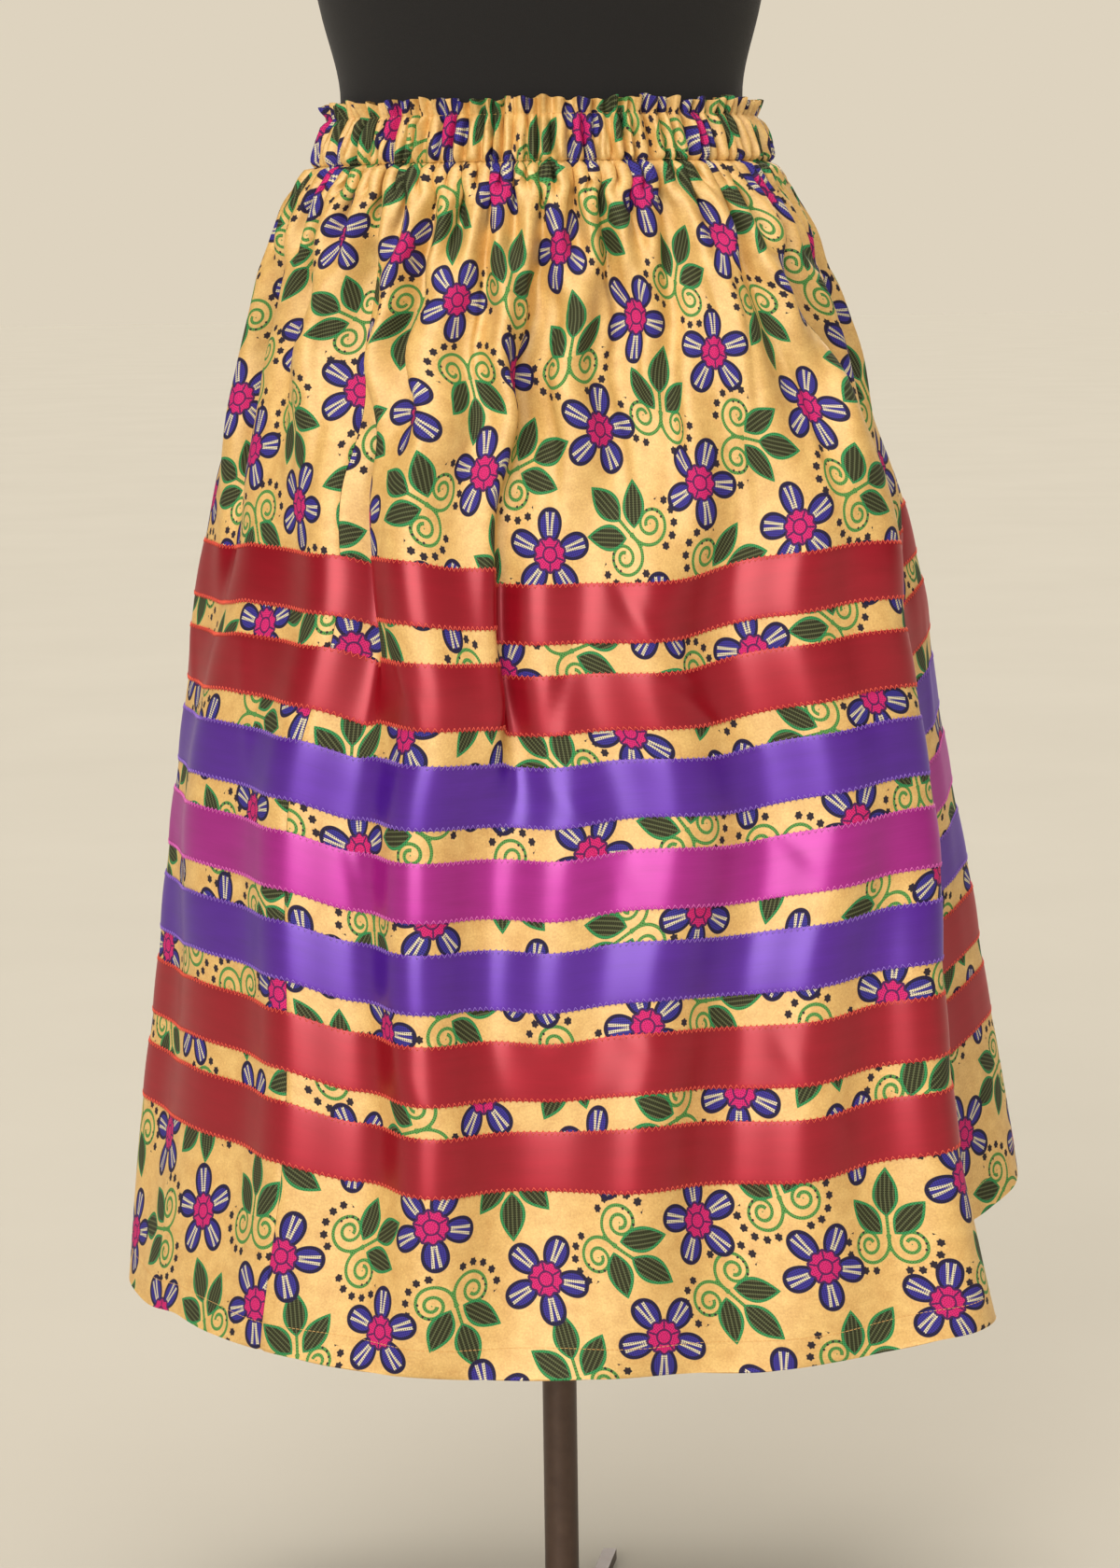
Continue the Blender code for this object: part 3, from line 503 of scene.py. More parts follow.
def rods(starts, ends, outs, width, height):
    """Points and faces of short three-sided bars, for threads that lie on cloth."""
    ahead = ends - starts
    aside = unit(np.cross(ahead, outs))
    up = unit(np.cross(aside, ahead))
    corners = [
        place + side * aside * width / 2 + rise * up * height
        for place in (starts, ends) for side, rise in BAR_SECTION
    ]
    points = np.stack(corners, axis=1).reshape(-1, 3)
    quads = [(0, 1, 4, 3), (1, 2, 5, 4), (2, 0, 3, 5)]
    faces = []
    for offset in range(0, 6 * len(starts), 6):
        faces += [tuple(offset + corner for corner in quad) for quad in quads]
        faces += [(offset, offset + 2, offset + 1), (offset + 3, offset + 4, offset + 5)]
    return points, faces


def thread_piece(name, paths, surfacing, width=0.46 * MM, height=0.36 * MM):
    """One mesh of all the stitches. Each path gives its bars' two ends and the way out of the cloth."""
    points, faces = [], []
    for starts, ends, outs in paths:
        more, bars = rods(starts, ends, outs, width, height)
        offset = sum(len(group) for group in points)
        faces += [tuple(corner + offset for corner in face) for face in bars]
        points.append(more)
    return mesh_piece(name, np.concatenate(points), faces, [surfacing], sharp=180)


# ---- Node graphs ----
SOFT_EDGE = 0.35  # millimetres over which an edge of the print fades


class Value:
    """A socket of a node graph. Arithmetic on it adds Math nodes."""

    def __init__(self, graph, socket):
        self.graph, self.socket = graph, socket

    def times_plus(self, factor, more, clamp=False):
        return self.graph.math("MULTIPLY_ADD", self, factor, more, clamp=clamp)

    def inside(self, softness=SOFT_EDGE):
        """1 where this distance is below zero, 0 where it is above, over a soft edge."""
        return self.times_plus(-1.0 / softness, 0.5, clamp=True)


def math_method(operation):
    return lambda self, *others: self.graph.math(operation, self, *others)


for method, operation in {
    "__add__": "ADD", "__sub__": "SUBTRACT", "__mul__": "MULTIPLY", "__truediv__": "DIVIDE", "least": "MINIMUM",
    "most": "MAXIMUM", "size": "ABSOLUTE", "floor": "FLOOR", "fract": "FRACT", "cos": "COSINE", "sin": "SINE",
}.items():
    setattr(Value, method, math_method(operation))


class Graph:
    """A material's node graph, which ends at its Principled shader."""

    def __init__(self, name):
        self.material = bpy.data.materials.new(name)
        self.material.use_nodes = True
        self.tree = self.material.node_tree
        self.shader = self.tree.nodes["Principled BSDF"]

    def put(self, socket, value):
        """Links a value to a socket, or sets the number or display colour on the socket itself."""
        if isinstance(value, Value):
            self.tree.links.new(value.socket, socket)
        else:
            socket.default_value = rgb(value) if isinstance(value, tuple) else value

    def shade(self, inputs):
        """Links or sets the shader's own sockets, by their names."""
        for key, value in inputs.items():
            self.put(self.shader.inputs[key], value)

    def node(self, kind, inputs=None, **settings):
        made = self.tree.nodes.new(kind)
        for setting, value in settings.items():
            setattr(made, setting, value)
        for key, value in (inputs or {}).items():
            self.put(made.inputs[key], value)
        return made

    def value(self, output, kind, inputs=None, **settings):
        """One output of a new node."""
        return Value(self, self.node(kind, inputs, **settings).outputs[output])

    def math(self, operation, *values, clamp=False):
        return self.value(0, "ShaderNodeMath", dict(enumerate(values)), operation=operation, use_clamp=clamp)

    def vector(self, x, y, z=0.0):
        return self.value(0, "ShaderNodeCombineXYZ", {0: x, 1: y, 2: z})

    def mix(self, share, first, second):
        """A colour between two colours."""
        return self.value(2, "ShaderNodeMix", {0: share, 6: first, 7: second}, data_type="RGBA")

    def blend(self, share, first, second):
        """A number between two numbers."""
        return self.value(0, "ShaderNodeMix", {0: share, 2: first, 3: second}, data_type="FLOAT")

    def length(self, x, y):
        return self.math("SQRT", x.times_plus(x, y * y))

    def noise(self, place, scale, detail, rough):
        inputs = {"Vector": place, "Scale": scale, "Detail": detail, "Roughness": rough}
        return self.value(0, "ShaderNodeTexNoise", inputs)

    def cloth(self):
        """Places on the cloth: millimetres along it and down it."""
        axes = self.node("ShaderNodeSeparateXYZ", {0: self.value(0, "ShaderNodeUVMap", uv_map="Cloth")})
        return Value(self, axes.outputs[0]) * 1000.0, Value(self, axes.outputs[1]) * 1000.0

    def bump(self, height, strength, distance):
        inputs = {"Strength": strength, "Distance": distance, "Height": height}
        self.shade({"Normal": self.value(0, "ShaderNodeBump", inputs)})


def rgb(colour):
    """A display colour, 0 to 255, as linear light."""
    return tuple(x / 255 / 12.92 if x <= 10 else ((x / 255 + 0.055) / 1.055) ** 2.4 for x in colour) + (1.0,)


# ---- The print: sizes in millimetres, and inks with their colours between the beads and on them ----
PRINT_PITCH = 86.0  # between flowers, and between sprigs
PRINT_TURN = math.radians(27)
BEAD = 1.45  # from bead to bead
PETALS = 5
PETAL = (18.2, 12.0, 8.8, -0.16)  # its middle's distance out, half length, half width, taper
PETAL_ROWS = (19.5, 7.4)  # their middle's distance out, and half length
HEART_RADIUS = 11.4
HEART_RING = 4.8
SIDE_LEAF_TURN = math.radians(48)
SIDE_LEAF_AT = (14.5, 5.0)
SIDE_LEAF, END_LEAF = (15.5, 8.4), (16.0, 8.8)  # half length, half width
END_LEAF_UP = 20.5
LEAF_ROW = 2.9  # between a leaf's paler rows
COIL_ASIDE, COIL_DOWN = 14.5, 13.0
COIL_STARTS = 155 / 360  # of a turn
TENDRIL_GROWTH = 2.1  # how much further out a tendril's spiral runs after each turn
TENDRIL_HALF = 1.1
BERRIES_OUT, SPECKS_OUT = 17.6, 9.0
BERRY_STEP = math.radians(27)

GOLD = ((200, 150, 76), (232, 194, 118))
WRONG_SIDE = (240, 212, 156)
PETAL_LINE, PETAL_INK = ((6, 6, 30), (28, 24, 68)), ((20, 17, 82), (54, 48, 144))
PETAL_ROW_INK = ((58, 52, 84), (216, 208, 178))
HEART_LINE, HEART_INK, HEART_SPOKES = (66, 26, 82), ((146, 8, 74), (206, 34, 116)), (78, 24, 84)
TENDRIL_INK = ((34, 88, 40), (86, 148, 78))
LEAF_LINE, LEAF_INK = ((18, 86, 46), (48, 142, 86)), ((6, 12, 5), (88, 96, 66))
BERRY_INK = (38, 32, 46)


def motif_places(graph, x, y, shift, seed, stray):
    """Places within the motif whose cell holds each point, in millimetres, each motif moved and turned by chance."""
    across, down = x.times_plus(1 / PRINT_PITCH, shift), y.times_plus(1 / PRINT_PITCH, shift)
    column, row = across.floor(), down.floor()
    cell = {"Vector": graph.vector(column, row, seed)}
    chance = graph.value("Color", "ShaderNodeTexWhiteNoise", cell, noise_dimensions="3D")
    parts = graph.node("ShaderNodeSeparateColor", {0: chance})
    first, second, third = (Value(graph, parts.outputs[index]) for index in range(3))
    px = (across - column).times_plus(PRINT_PITCH, first.times_plus(stray, -PRINT_PITCH / 2 - stray / 2))
    py = (down - row).times_plus(PRINT_PITCH, second.times_plus(stray, -PRINT_PITCH / 2 - stray / 2))
    turn = third * math.tau
    cosine, sine = turn.cos(), turn.sin()
    return px * cosine + py * sine, py * cosine - px * sine


def beaded(graph, x, y, pitch):
    """1 on the beads and 0 between them, on a square grid."""
    turns = math.tau / pitch
    waves = (x * turns).cos() + (y * turns).cos()
    return waves.times_plus(1.4, 1.5, clamp=True)


def flower(graph, colour, x, y):
    """A round flower of five petals about a lobed heart."""
    reach = graph.length(x, y)
    sector = math.tau / PETALS
    turn = graph.math("ARCTAN2", y, x) / sector
    fold = ((turn + 0.5).fract() - 0.5) * sector
    px, py = reach * fold.cos(), reach * fold.sin()
    side = py.size()

    def oval(centre, long, wide, taper):
        run = px.times_plus(1 / long, -centre / long)
        return (graph.length(run, side / run.times_plus(-taper * wide, wide)) - 1.0) * wide

    beads = beaded(graph, px, py, BEAD)
    petal = oval(*PETAL)
    colour = graph.mix(petal.inside(), colour, graph.mix(beads, *PETAL_LINE))
    colour = graph.mix((petal + 2.1).inside(), colour, graph.mix(beads, *PETAL_INK))
    rows = ((side - px.times_plus(0.09, -0.1)).size() - 0.95).most((px - PETAL_ROWS[0]).size() - PETAL_ROWS[1])
    colour = graph.mix(rows.inside(), colour, graph.mix(beads, *PETAL_ROW_INK))
    heart = reach + (fold * (2.0 * PETALS)).cos().times_plus(-0.8, -HEART_RADIUS)
    colour = graph.mix(heart.inside(), colour, HEART_LINE)
    colour = graph.mix((heart + 1.5).inside(), colour, graph.mix(beads, *HEART_INK))
    ring = (reach - HEART_RING).size() - 0.6
    spoke = (reach * (fold.size() * -1.0 + sector / 2) - 0.6).most(reach * -1.0 + HEART_RING).most(heart)
    return graph.mix(ring.least(spoke).inside(), colour, HEART_SPOKES), petal.least(heart)


def spray(graph, colour, x, y):
    """A sprig with an end leaf, two side leaves, a pair of curling tendrils and a few berries."""
    side = x.size()

    def leaf(along, across, long, wide):
        share = along / long
        return across.size() - (share * share).times_plus(-wide, wide) * share.times_plus(-0.2, 1.0)

    cosine, sine = math.cos(SIDE_LEAF_TURN), math.sin(SIDE_LEAF_TURN)
    aside, up = SIDE_LEAF_AT
    run = side.times_plus(cosine, y.times_plus(sine, -aside * cosine - up * sine))
    off = side.times_plus(-sine, y.times_plus(cosine, aside * sine - up * cosine))
    side_leaf, end_leaf = leaf(run, off, *SIDE_LEAF), leaf(y - END_LEAF_UP, side, *END_LEAF)
    leaves = side_leaf.least(end_leaf)
    end = (end_leaf - side_leaf).inside(0.1)
    across, along = graph.blend(end, off, side), graph.blend(end, run, y)
    stem = (side - TENDRIL_HALF).most((y + 6.0).size() - 12.0)
    cx, cy = side - COIL_ASIDE, y + COIL_DOWN
    reach, bearing = graph.length(cx, cy), graph.math("ARCTAN2", cy, cx)
    turn = bearing.times_plus(-1 / math.tau, COIL_STARTS + 1.0).fract()
    coil = graph.math("LOGARITHM", reach / 3.4, TENDRIL_GROWTH) - turn
    loops = graph.math("ROUND", coil).most(0.0).least(1.0)
    curl = (coil - loops).size() * reach * math.log(TENDRIL_GROWTH) - TENDRIL_HALF
    lines = stem.least(curl)
    beads = beaded(graph, along, across, BEAD)
    colour = graph.mix(lines.inside(), colour, graph.mix(beads, *TENDRIL_INK))
    colour = graph.mix(leaves.inside(), colour, graph.mix(beads, *LEAF_LINE))
    rows = (across * (math.tau / LEAF_ROW)).cos().times_plus(0.42, 0.58)
    leaf_green = graph.mix(beads * rows, *LEAF_INK)
    colour = graph.mix((leaves + 2.0).inside(), colour, leaf_green)
    swing = (bearing.times_plus(1 / BERRY_STEP, 9.2).fract() - 0.5) * BERRY_STEP * reach
    out = reach - BERRIES_OUT
    points = (graph.math("ARCTAN2", out, swing) * 6.0).cos().times_plus(-0.35, -2.5)
    berries = (graph.length(swing, out) + points).most((bearing + 0.75).size() * reach - 21.0)
    specks = (graph.length(swing, reach - SPECKS_OUT) - 0.85).most((bearing - 0.4).size() * reach - 8.4)
    dots = berries.least(specks)
    return graph.mix(dots.inside(), colour, BERRY_INK), leaves.least(lines).least(dots)


def make_print(name, wrong_side=False):
    """Printed cotton sateen: a mottled gold ground with flowers and sprigs drawn like rows of beads."""
    graph = Graph(name)
    x, y = graph.cloth()
    place = graph.vector(x, y)
    clouds = graph.noise(place, 0.09, 4.0, 0.6)
    grain = graph.noise(place, 0.7, 3.0, 0.75)
    tone = clouds.times_plus(1.7, grain.times_plus(2.2, -1.45), clamp=True)
    ground = graph.mix(tone, *GOLD)
    turned_x = x * math.cos(PRINT_TURN) + y * math.sin(PRINT_TURN)
    turned_y = y * math.cos(PRINT_TURN) - x * math.sin(PRINT_TURN)
    places = motif_places(graph, turned_x, turned_y, shift=0.5, seed=3.0, stray=5.0)
    colour, sprig = spray(graph, ground, *places)
    places = motif_places(graph, turned_x, turned_y, shift=0.0, seed=8.0, stray=7.0)
    colour, bloom = flower(graph, colour, *places)
    if wrong_side:
        colour = graph.mix(0.55, colour, WRONG_SIDE)
    weave = (x * 9.0).sin() * (y * 9.0).sin()
    graph.bump(weave.times_plus(0.3, grain), 0.35, 0.0003)
    ink = sprig.least(bloom).inside()
    graph.shade({
        "Base Color": colour, "Roughness": graph.blend(ink, grain.times_plus(0.2, 0.40), 0.75),
        "Specular IOR Level": graph.blend(ink, 1.0, 0.2), "IOR": 1.75, "Specular Tint": (255, 244, 218),
    })
    return graph.material


SATIN_SHEEN = {
    "IOR": 1.56, "Specular IOR Level": 1.0, "Anisotropic": 0.6, "Anisotropic Rotation": 0.25, "Metallic": 0.38,
    "Coat Weight": 0.16, "Coat IOR": 2.6, "Coat Roughness": 0.33,
}


def make_satin(name, dark, light, gloss):
    """Satin ribbon: fine threads along it, so that highlights spread across it."""
    graph = Graph(name)
    x, y = graph.cloth()
    streaks = graph.noise(graph.vector(x * 0.03, y * 2.2), 1.0, 3.0, 0.6)
    slubs = graph.noise(graph.vector(x * 0.02, y * 0.15), 1.0, 2.0, 0.5)
    grain = graph.noise(graph.vector(x, y), 1.6, 2.0, 0.7)
    tone = streaks.times_plus(0.9, slubs.times_plus(0.7, -0.3), clamp=True)
    graph.shade({
        "Base Color": graph.mix(tone, dark, light), "Roughness": streaks.times_plus(0.14, 0.365),
        "Tangent": graph.value(0, "ShaderNodeTangent", direction_type="UV_MAP", uv_map="Cloth"),
        "Specular Tint": gloss, **SATIN_SHEEN,
    })
    graph.bump(grain, 0.16, 0.00025)
    return graph.material


def make_mottled(name, dark, light, scale, rough, bump, **settings):
    """A material with fine grain, for thread, jersey, metal and the floor."""
    graph = Graph(name)
    place = graph.value("Object", "ShaderNodeTexCoord")
    grain = graph.noise(place, scale, 4.0, 0.6)
    graph.shade({
        "Base Color": graph.mix(grain.times_plus(1.6, -0.3, clamp=True), dark, light),
        "Roughness": grain.times_plus(0.2, rough - 0.1),
    })
    graph.shade({setting.replace("_", " "): value for setting, value in settings.items()})
    graph.bump(grain, 0.4, bump)
    return graph.material


SATIN_COLOURS = {  # darker and lighter streaks, and the colour of the gloss
    "red": ((138, 1, 18), (164, 6, 35), (238, 100, 134)),
    "purple": ((72, 15, 136), (90, 26, 170), (172, 140, 246)),
    "magenta": ((152, 15, 120), (178, 28, 150), (220, 122, 240)),
}
THREAD_COLOURS = {  # darker and lighter mottling, and how rough
    "red": ((222, 72, 58), (246, 118, 92), 0.5),
    "purple": ((122, 86, 190), (172, 138, 226), 0.5),
    "magenta": ((206, 84, 172), (238, 138, 210), 0.5),
    "gold": ((206, 150, 80), (236, 190, 118), 0.6),
}
PRINT = make_print("print_cotton_right_side")
PRINT_BACK = make_print("print_cotton_wrong_side", wrong_side=True)
SATINS = {name: make_satin(f"satin_ribbon_{name}", *colours) for name, colours in SATIN_COLOURS.items()}
THREADS = {
    name: make_mottled(f"thread_{name}", dark, light, 900.0, rough, 0.0001)
    for name, (dark, light, rough) in THREAD_COLOURS.items()
}
JERSEY = make_mottled("jersey_black", (12, 12, 13), (24, 23, 24), 1400.0, 0.95, 0.0004, Sheen_Weight=0.08)
METAL = make_mottled("painted_metal_brown", (62, 46, 38), (84, 66, 55), 60.0, 0.42, 0.00015, Metallic=0.35)

# ---- The skirt's panels ----
BACK_SHIFT = (0.337, 0.214)  # of the back panel's print against the front's
PANEL_ROWS = np.concatenate([
    np.linspace(0.0, 0.060, 24, endpoint=False), np.linspace(0.060, 0.270, 30, endpoint=False),
    np.linspace(0.270, 0.772, 38), [0.7742, PANEL_LENGTH],
])
PANEL_COLUMNS = 520
PANEL_BAKE, CASING_BAKE = 0.72, 0.6
panels = {}
for panel_name, start, end, shift in (
    ("panel_front", FIRST_SEAM, SECOND_SEAM, (0.0, 0.0)),
    ("panel_back", SECOND_SEAM, FIRST_SEAM + CUT_WIDTH, BACK_SHIFT),
):
    columns = np.linspace(start + SEAM_GAP / 2, end - SEAM_GAP / 2, PANEL_COLUMNS)
    middle, outward = surface(PANEL_ROWS, columns, seams=True)
    panels[panel_name] = shell(
        panel_name, middle + outward * CLOTH_WALL / 2, middle - outward * CLOTH_WALL / 2, PANEL_ROWS, columns, False,
        [PRINT, PRINT_BACK], shift, bake=PANEL_BAKE,
    )
    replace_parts(panels[panel_name], "skirt_" + panel_name.split("_")[1])

# ---- The waist casing ----
CASING_COLUMNS = 1280
CASING_PUFF = 0.0016  # how far the casing stands out between its stitch lines, and the ruffle at its top
HEADER_PUFF = 0.0014
HEADER_WALL = 1.0 * MM
CASING_ROWS = np.array([
    0.0, 0.8, 1.8, 3.2, 5.5, 9, 13, 17, 21, 24.5, 26.8, 28.2, 29.0, 29.8, 31.0, 32.6, 34.5, 36.5, 38.2, 39.0
]) * MM


def seam_share(points):
    """How far round the waist each place lies, as a share of the whole."""
    turns = np.arctan2(points[:, 0] / WAIST_HALF_WIDTH, -points[:, 1] / WAIST_HALF_DEPTH)
    waist = np.unwrap(np.arctan2(WAIST_CURVE[:, 0] / WAIST_HALF_WIDTH, -WAIST_CURVE[:, 1] / WAIST_HALF_DEPTH))
    return np.interp(turns % math.tau, waist, np.arange(SAMPLES) / SAMPLES, period=math.tau)


def make_casing():
    """The casing's middle and the way out of it, from the top row down, and its mesh."""
    along = FIRST_SEAM + np.linspace(0.0, CUT_WIDTH, CASING_COLUMNS, endpoint=False)
    seam = periodic(folded(0.0), along / CUT_WIDTH * SAMPLES)[:, :2]
    base = periodic(WAIST_CURVE, seam_share(seam) * SAMPLES)
    tangent = unit(np.roll(base, -6, axis=0) - np.roll(base, 6, axis=0))
    out = np.column_stack([tangent[:, 1], -tangent[:, 0]])
    pucker = seam - base
    turn = math.tau * along / CUT_WIDTH
    seamed = uneven(along) - uneven(SIDE_SEAM_AT)
    swell = 1.0 + waves_of(turn, (17, 0.16, 0.4), (31, 0.18, 1.9), (43, 0.14, 4.0))
    drift = waves_of(turn, (29, 0.6, 0.5), (53, 0.7, 2.2), (11, 0.5, 1.0))
    rounds = []
    for height in CASING_ROWS:
        share = min(height / CASING_HEIGHT, 1.0)
        size = 1 + (CASING_TAPER - 1) * share
        puff = CASING_PUFF * math.sin(math.pi * share)
        if share >= 1:
            puff = HEADER_PUFF * (height - CASING_HEIGHT) / HEADER_HEIGHT
        loose = float(window(height, 0.0, 4 * MM, 24 * MM, CASING_HEIGHT))
        free = float(smooth_step(height, CASING_HEIGHT, CASING_HEIGHT + HEADER_HEIGHT))
        pinch = sum(
            deep * math.exp(-(((height - line) / CASING_PINCH_HALF) ** 2))
            for line, deep in ((0.0, SEAM_PINCH), (CASING_HEIGHT, SEAM_PINCH / 2))
        )
        depth = 1.05 + (swell - 1.0) * min(loose + free, 1.0) + 0.12 * loose + 0.35 * free
        ripples = waves_of(turn, (139, 1.0, 7 * share), (201, 0.8, 2.0 - 4 * share))
        fine = (0.35 + 0.25 * loose + 0.5 * free) * MM * ripples
        fine = fine + free * MM * waves_of(turn, (53, 0.9, 1.0), (23, 0.8, 2.0))
        rolls = crests(SEAM_WAVES * seamed + (loose + free) * drift, 0.5)
        fine = fine + (3.1 * loose + 2.2 * free) * MM * rolls * swell**2
        flat = base * size + pucker * depth[:, None] + out * (fine + puff - pinch)[:, None]
        rise = free * MM * waves_of(turn, (37, 0.9, 0.3), (71, 0.8, 1.0), (11, 0.9, 2.0))
        rounds.append(np.column_stack([flat, SEAM_HEIGHT + SEAM_GAP + height + rise]))
    middle = np.array(rounds)[::-1]
    across = np.roll(middle, -1, axis=1) - np.roll(middle, 1, axis=1)
    outward = unit(np.cross(np.gradient(middle, axis=0), across))
    down = -CASING_ROWS[::-1]
    wall = np.where(down < -CASING_HEIGHT, HEADER_WALL, CASING_WALL)[:, None, None]
    behind = np.append(along, FIRST_SEAM + CUT_WIDTH) > SECOND_SEAM
    return middle, outward, shell(
        "waist_casing_gathered", middle + outward * wall / 2, middle - outward * wall / 2, down, along, True,
        [PRINT], shift=behind[:, None] * np.array(BACK_SHIFT), bake=CASING_BAKE,
    )


casing_middle, casing_outward, casing = make_casing()
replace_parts(casing, "waist_casing")

# ---- Ribbons and their stitches ----
RIBBON_COLUMNS = 840
RIBBON_LEVELS = np.array([0.0, 0.02, 0.08, 0.2, 0.36, 0.5, 0.64, 0.8, 0.92, 0.98, 1.0])
RIBBON_EDGE = 1.15 * MM  # how far a ribbon's face stands above the cloth's middle, at its edges and between them
RIBBON_CROWN = 1.75 * MM
RIBBON_WALL = 0.35 * MM
ZIGZAG_PITCH = 4.3 * MM
ZIGZAG_REACH = 2.2 * MM
ZIGZAG_OVER = 0.8 * MM
ZIGZAG_LEAN = 0.38  # of the pitch, from an outer end to the inner end after it
OUTER_END_LIFT, INNER_END_LIFT = 1.05 * MM, 1.62 * MM
ribbon_along = np.linspace(0.0, CUT_WIDTH, RIBBON_COLUMNS, endpoint=False)
stitch_count = int(CUT_WIDTH / ZIGZAG_PITCH)
zigzags = {name: [] for name in SATINS}
for index, satin in enumerate(RIBBON_SATINS):
    top = FIRST_RIBBON + index * RIBBON_PITCH
    down = top + RIBBON_LEVELS * RIBBON_WIDTH
    middle, outward = surface(down, ribbon_along)
    crown = RIBBON_EDGE + (RIBBON_CROWN - RIBBON_EDGE) * np.sqrt(np.sin(math.pi * RIBBON_LEVELS).clip(0, 1))
    crown = crown[:, None, None]
    piece = shell(
        f"ribbon_{index + 1}_satin", middle + outward * crown, middle + outward * (crown - RIBBON_WALL), down,
        ribbon_along, True, [SATINS[satin]],
    )
    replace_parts(piece, f"ribbon_{index + 1}")
    for edge, side in ((top, 1), (top + RIBBON_WIDTH, -1)):
        places = np.arange(stitch_count) * CUT_WIDTH / stitch_count
        inner = places + ZIGZAG_LEAN * ZIGZAG_PITCH
        levels = np.array(sorted((edge - side * ZIGZAG_OVER, edge + side * ZIGZAG_REACH)))
        low, high = (0, 1) if side > 0 else (1, 0)
        outside, outside_out = surface(levels, places)
        inside, inside_out = surface(levels, inner)
        outer_ends = outside[low] + outside_out[low] * OUTER_END_LIFT
        inner_ends = inside[high] + inside_out[high] * INNER_END_LIFT
        zigzags[satin].append((outer_ends, inner_ends, outside_out[low]))
        zigzags[satin].append((inner_ends, np.roll(outer_ends, -1, axis=0), inside_out[high]))
threads = {
    satin: thread_piece(f"zigzag_stitches_{satin}", paths, THREADS[satin])
    for satin, paths in zigzags.items()
}


def straight_stitches(down, lift, pitch=3.0 * MM):
    """A line of stitches round the skirt at one depth."""
    count = int(CUT_WIDTH / pitch)
    places = np.arange(count) * CUT_WIDTH / count
    levels = [down, down + 1 * MM]
    start, out = surface(levels, places)
    end, _ = surface(levels, places + 0.72 * pitch)
    return start[0] + out[0] * lift, end[0] + out[0] * lift, out[0]


def casing_stitches(height, pitch=6):
    """A line of stitches round the casing at one height above the seam."""
    row = int(np.argmin(np.abs(CASING_ROWS[::-1] - height)))
    points = casing_middle[row] + casing_outward[row] * (CASING_WALL / 2 + 0.1 * MM)
    return points[::pitch], np.roll(points, 2 - pitch, axis=0)[::pitch], casing_outward[row][::pitch]


HEM_STITCHES_UP = 0.0195
CASING_LINES = (CASING_HEIGHT, 0.8 * MM)
stitches = thread_piece(
    "hem_and_casing_stitches",
    [straight_stitches(PANEL_LENGTH - HEM_STITCHES_UP, 0.66 * MM), *map(casing_stitches, CASING_LINES)],
    THREADS["gold"], width=0.45 * MM, height=0.25 * MM,
)

# ---- The dress form and its stand ----
FORM_RINGS = 120
FORM_SIDES = 120
FORM_END_SHARE = 0.97  # width of the flat ends, so that their edges are softened
POLE_CHAMFER = 0.6 * MM


def loft(rings):
    """Points and faces of a closed skin over rings of points, from the bottom ring up."""
    count = len(rings[0])
    points = [point for ring in rings for point in ring]
    faces = [tuple(range(count))[::-1], tuple(range(len(points) - count, len(points)))]
    for low in range(0, len(points) - count, count):
        faces += [
            (low + step, low + (step + 1) % count, low + count + (step + 1) % count, low + count + step)
            for step in range(count)
        ]
    return points, faces


def make_form():
    sections = np.array(FORM_SECTIONS, float)
    bottom, top = sections[0, 0], sections[-1, 0]
    heights = np.unique(np.concatenate([np.linspace(bottom, top, FORM_RINGS), [top - 1.5, bottom + 2]]))
    turns = np.linspace(0, math.tau, FORM_SIDES, endpoint=False)
    rings = []
    for height, width, depth, forward in between_rows(sections[:, 0], sections, heights):
        close = FORM_END_SHARE if height in (heights[0], heights[-1]) else 1.0
        rings.append([
            (width * close * MM * math.sin(turn), (-depth * close * math.cos(turn) - forward) * MM, height * MM)
            for turn in turns
        ])
    points, faces = loft(rings)
    return mesh_piece("dress_form_torso", points, faces, [JERSEY])


def ring(radius, height, sides=48):
    return [
        (radius * math.cos(math.tau * step / sides), radius * math.sin(math.tau * step / sides), height)
        for step in range(sides)
    ]


def lathe(name, profile):
    """A round piece whose profile gives pairs of radius and height, from the bottom up."""
    points, faces = loft([ring(radius, height) for radius, height in profile])
    return mesh_piece(name, points, faces, [METAL], sharp=35)


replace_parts(make_form(), "form_torso")
foot_top = LEG_HEIGHT + SEAM_GAP
pole_top = FORM_SECTIONS[0][0] * MM - SEAM_GAP
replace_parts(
    lathe("stand_pole_tube", [
        (POLE_RADIUS - POLE_CHAMFER, foot_top), (POLE_RADIUS, foot_top + POLE_CHAMFER),
        (POLE_RADIUS, pole_top - POLE_CHAMFER), (POLE_RADIUS - POLE_CHAMFER, pole_top),
    ]), "stand_pole",
)
for node in ("stand_collar", "stand_foot"):
    for surface_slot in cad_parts[node].material_slots:
        surface_slot.material = METAL

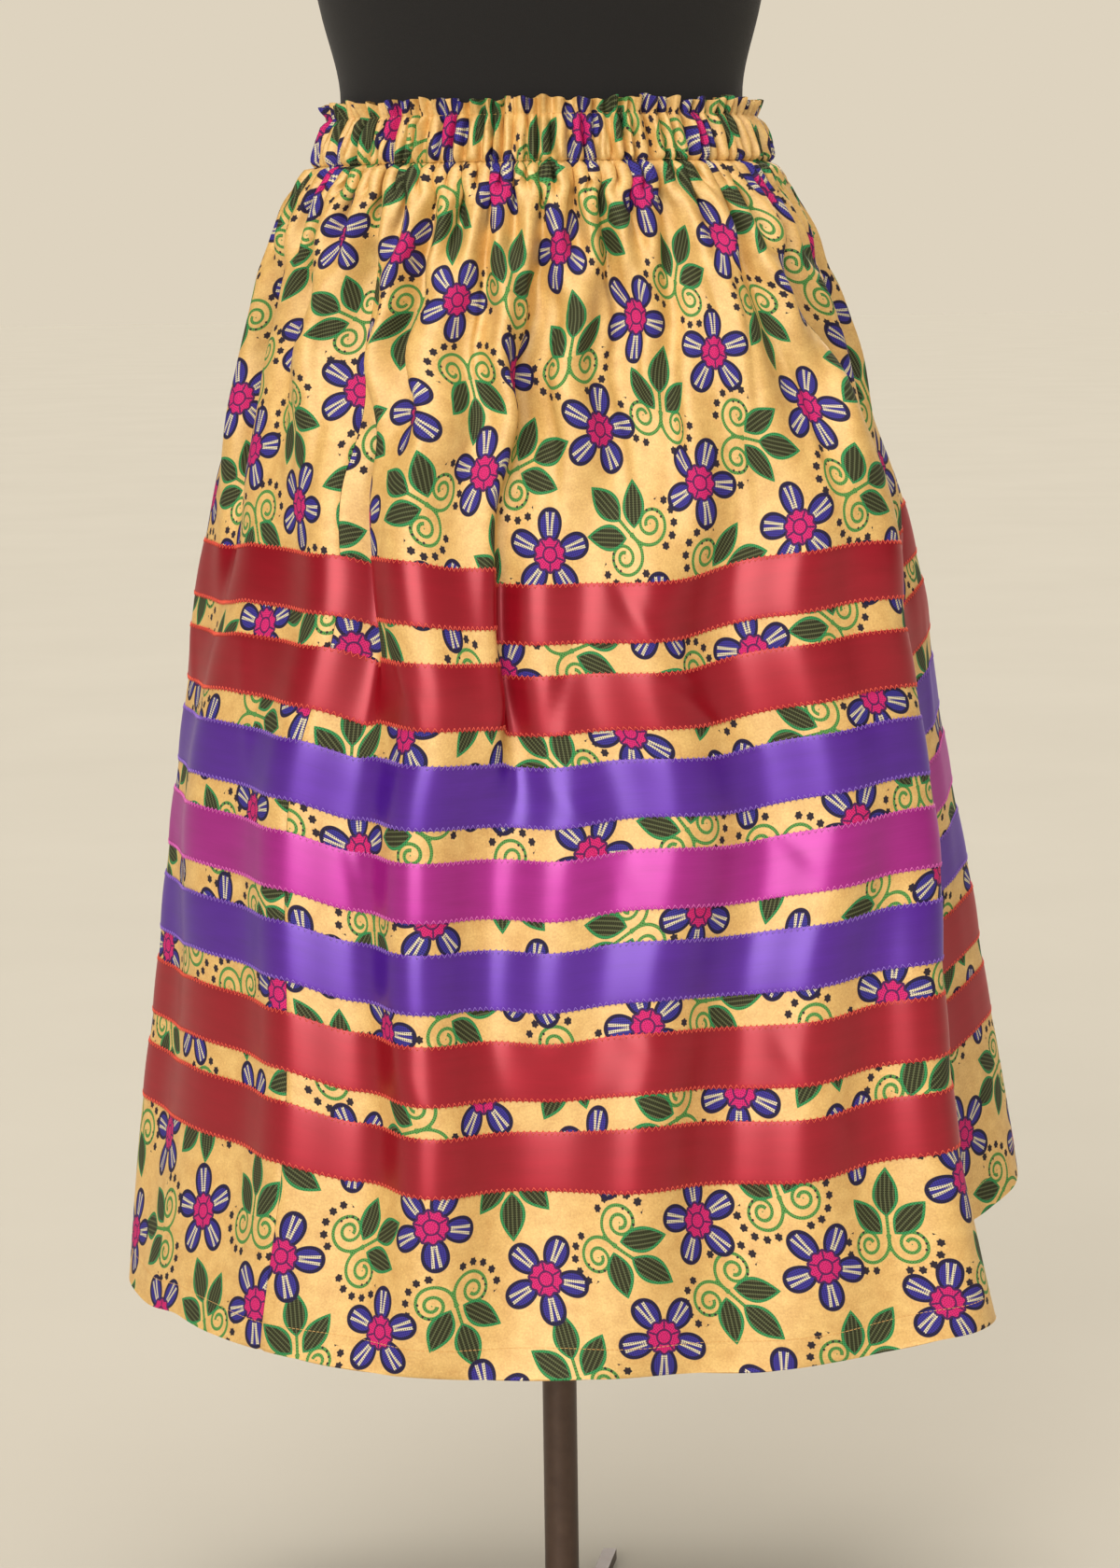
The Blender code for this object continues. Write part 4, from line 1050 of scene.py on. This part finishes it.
# ---- Floor, light and camera ----
FLOOR_HALF = 60.0
FLOOR_DROP = 0.0004  # keeps the floor clear of the foot
WORLD_BAND = (0.07, 0.15)  # the sine of the height at which the backdrop starts to darken and is darkest
BACKDROP = rgb((222, 211, 191))
CEILING = rgb((72, 69, 64))
FLOOR = make_mottled("floor_pale", (192, 189, 179), (197, 194, 184), 1.5, 0.9, 0.0005, Specular_IOR_Level=0.0)
floor_points = [(x, y, -FLOOR_DROP) for x in (-FLOOR_HALF, FLOOR_HALF) for y in (-FLOOR_HALF, FLOOR_HALF)]
floor_mesh = bpy.data.meshes.new("floor")
floor_mesh.from_pydata(floor_points, [], [(0, 2, 3, 1)])
floor_mesh.materials.append(FLOOR)
floor = add_object("floor", floor_mesh)

scene = bpy.context.scene
world = bpy.data.worlds.new("studio")
scene.world = world
world.use_nodes = True
sky = world.node_tree.nodes
direction = sky.new("ShaderNodeTexCoord")
axes, steepness = sky.new("ShaderNodeSeparateXYZ"), sky.new("ShaderNodeMath")
ramp = sky.new("ShaderNodeValToRGB")
steepness.operation = "ABSOLUTE"
link = world.node_tree.links.new
link(direction.outputs["Generated"], axes.inputs[0])
link(axes.outputs[2], steepness.inputs[0])
link(steepness.outputs[0], ramp.inputs[0])
for stop, position, colour in zip(ramp.color_ramp.elements, WORLD_BAND, (BACKDROP, CEILING)):
    stop.position, stop.color = position, colour
link(ramp.outputs[0], sky["Background"].inputs[0])
sky["Background"].inputs[1].default_value = 1.0

LAMPS = (  # (name, direction it comes from, angle across, strength, colour)
    ("key", (-0.95, -2.4, 0.85), 0.78, 2.55, (255, 247, 238)),
    ("fill", (1.9, -2.0, 1.6), 1.5, 0.4, (255, 242, 226)),
    ("top", (0.0, -0.5, 3.0), 0.8, 2.2, (255, 246, 234)),
    ("back", (0.6, 2.6, 1.5), 0.8, 1.7, (255, 248, 238)),
)
for lamp_name, comes_from, angle, strength, colour in LAMPS:
    lamp = bpy.data.lights.new(lamp_name, "SUN")
    lamp.energy, lamp.color, lamp.angle = strength, rgb(colour)[:3], angle
    holder = add_object(lamp_name, lamp)
    holder.location = comes_from
    holder.rotation_euler = Vector(comes_from).to_track_quat("Z", "Y").to_euler()

CAMERA_RISE = math.radians(82)  # from looking straight down
CAMERA_ROLL = math.radians(-0.785)
camera = add_object("camera", bpy.data.cameras.new("camera"))
camera.location = (0.006, -2.5, 0.978)
camera.rotation_euler = (Euler((CAMERA_RISE, 0, 0)).to_matrix() @ Euler((0, 0, CAMERA_ROLL)).to_matrix()).to_euler()
camera.data.lens, camera.data.sensor_width = 85.7, 36
scene.camera = camera
scene.view_settings.view_transform = "Standard"
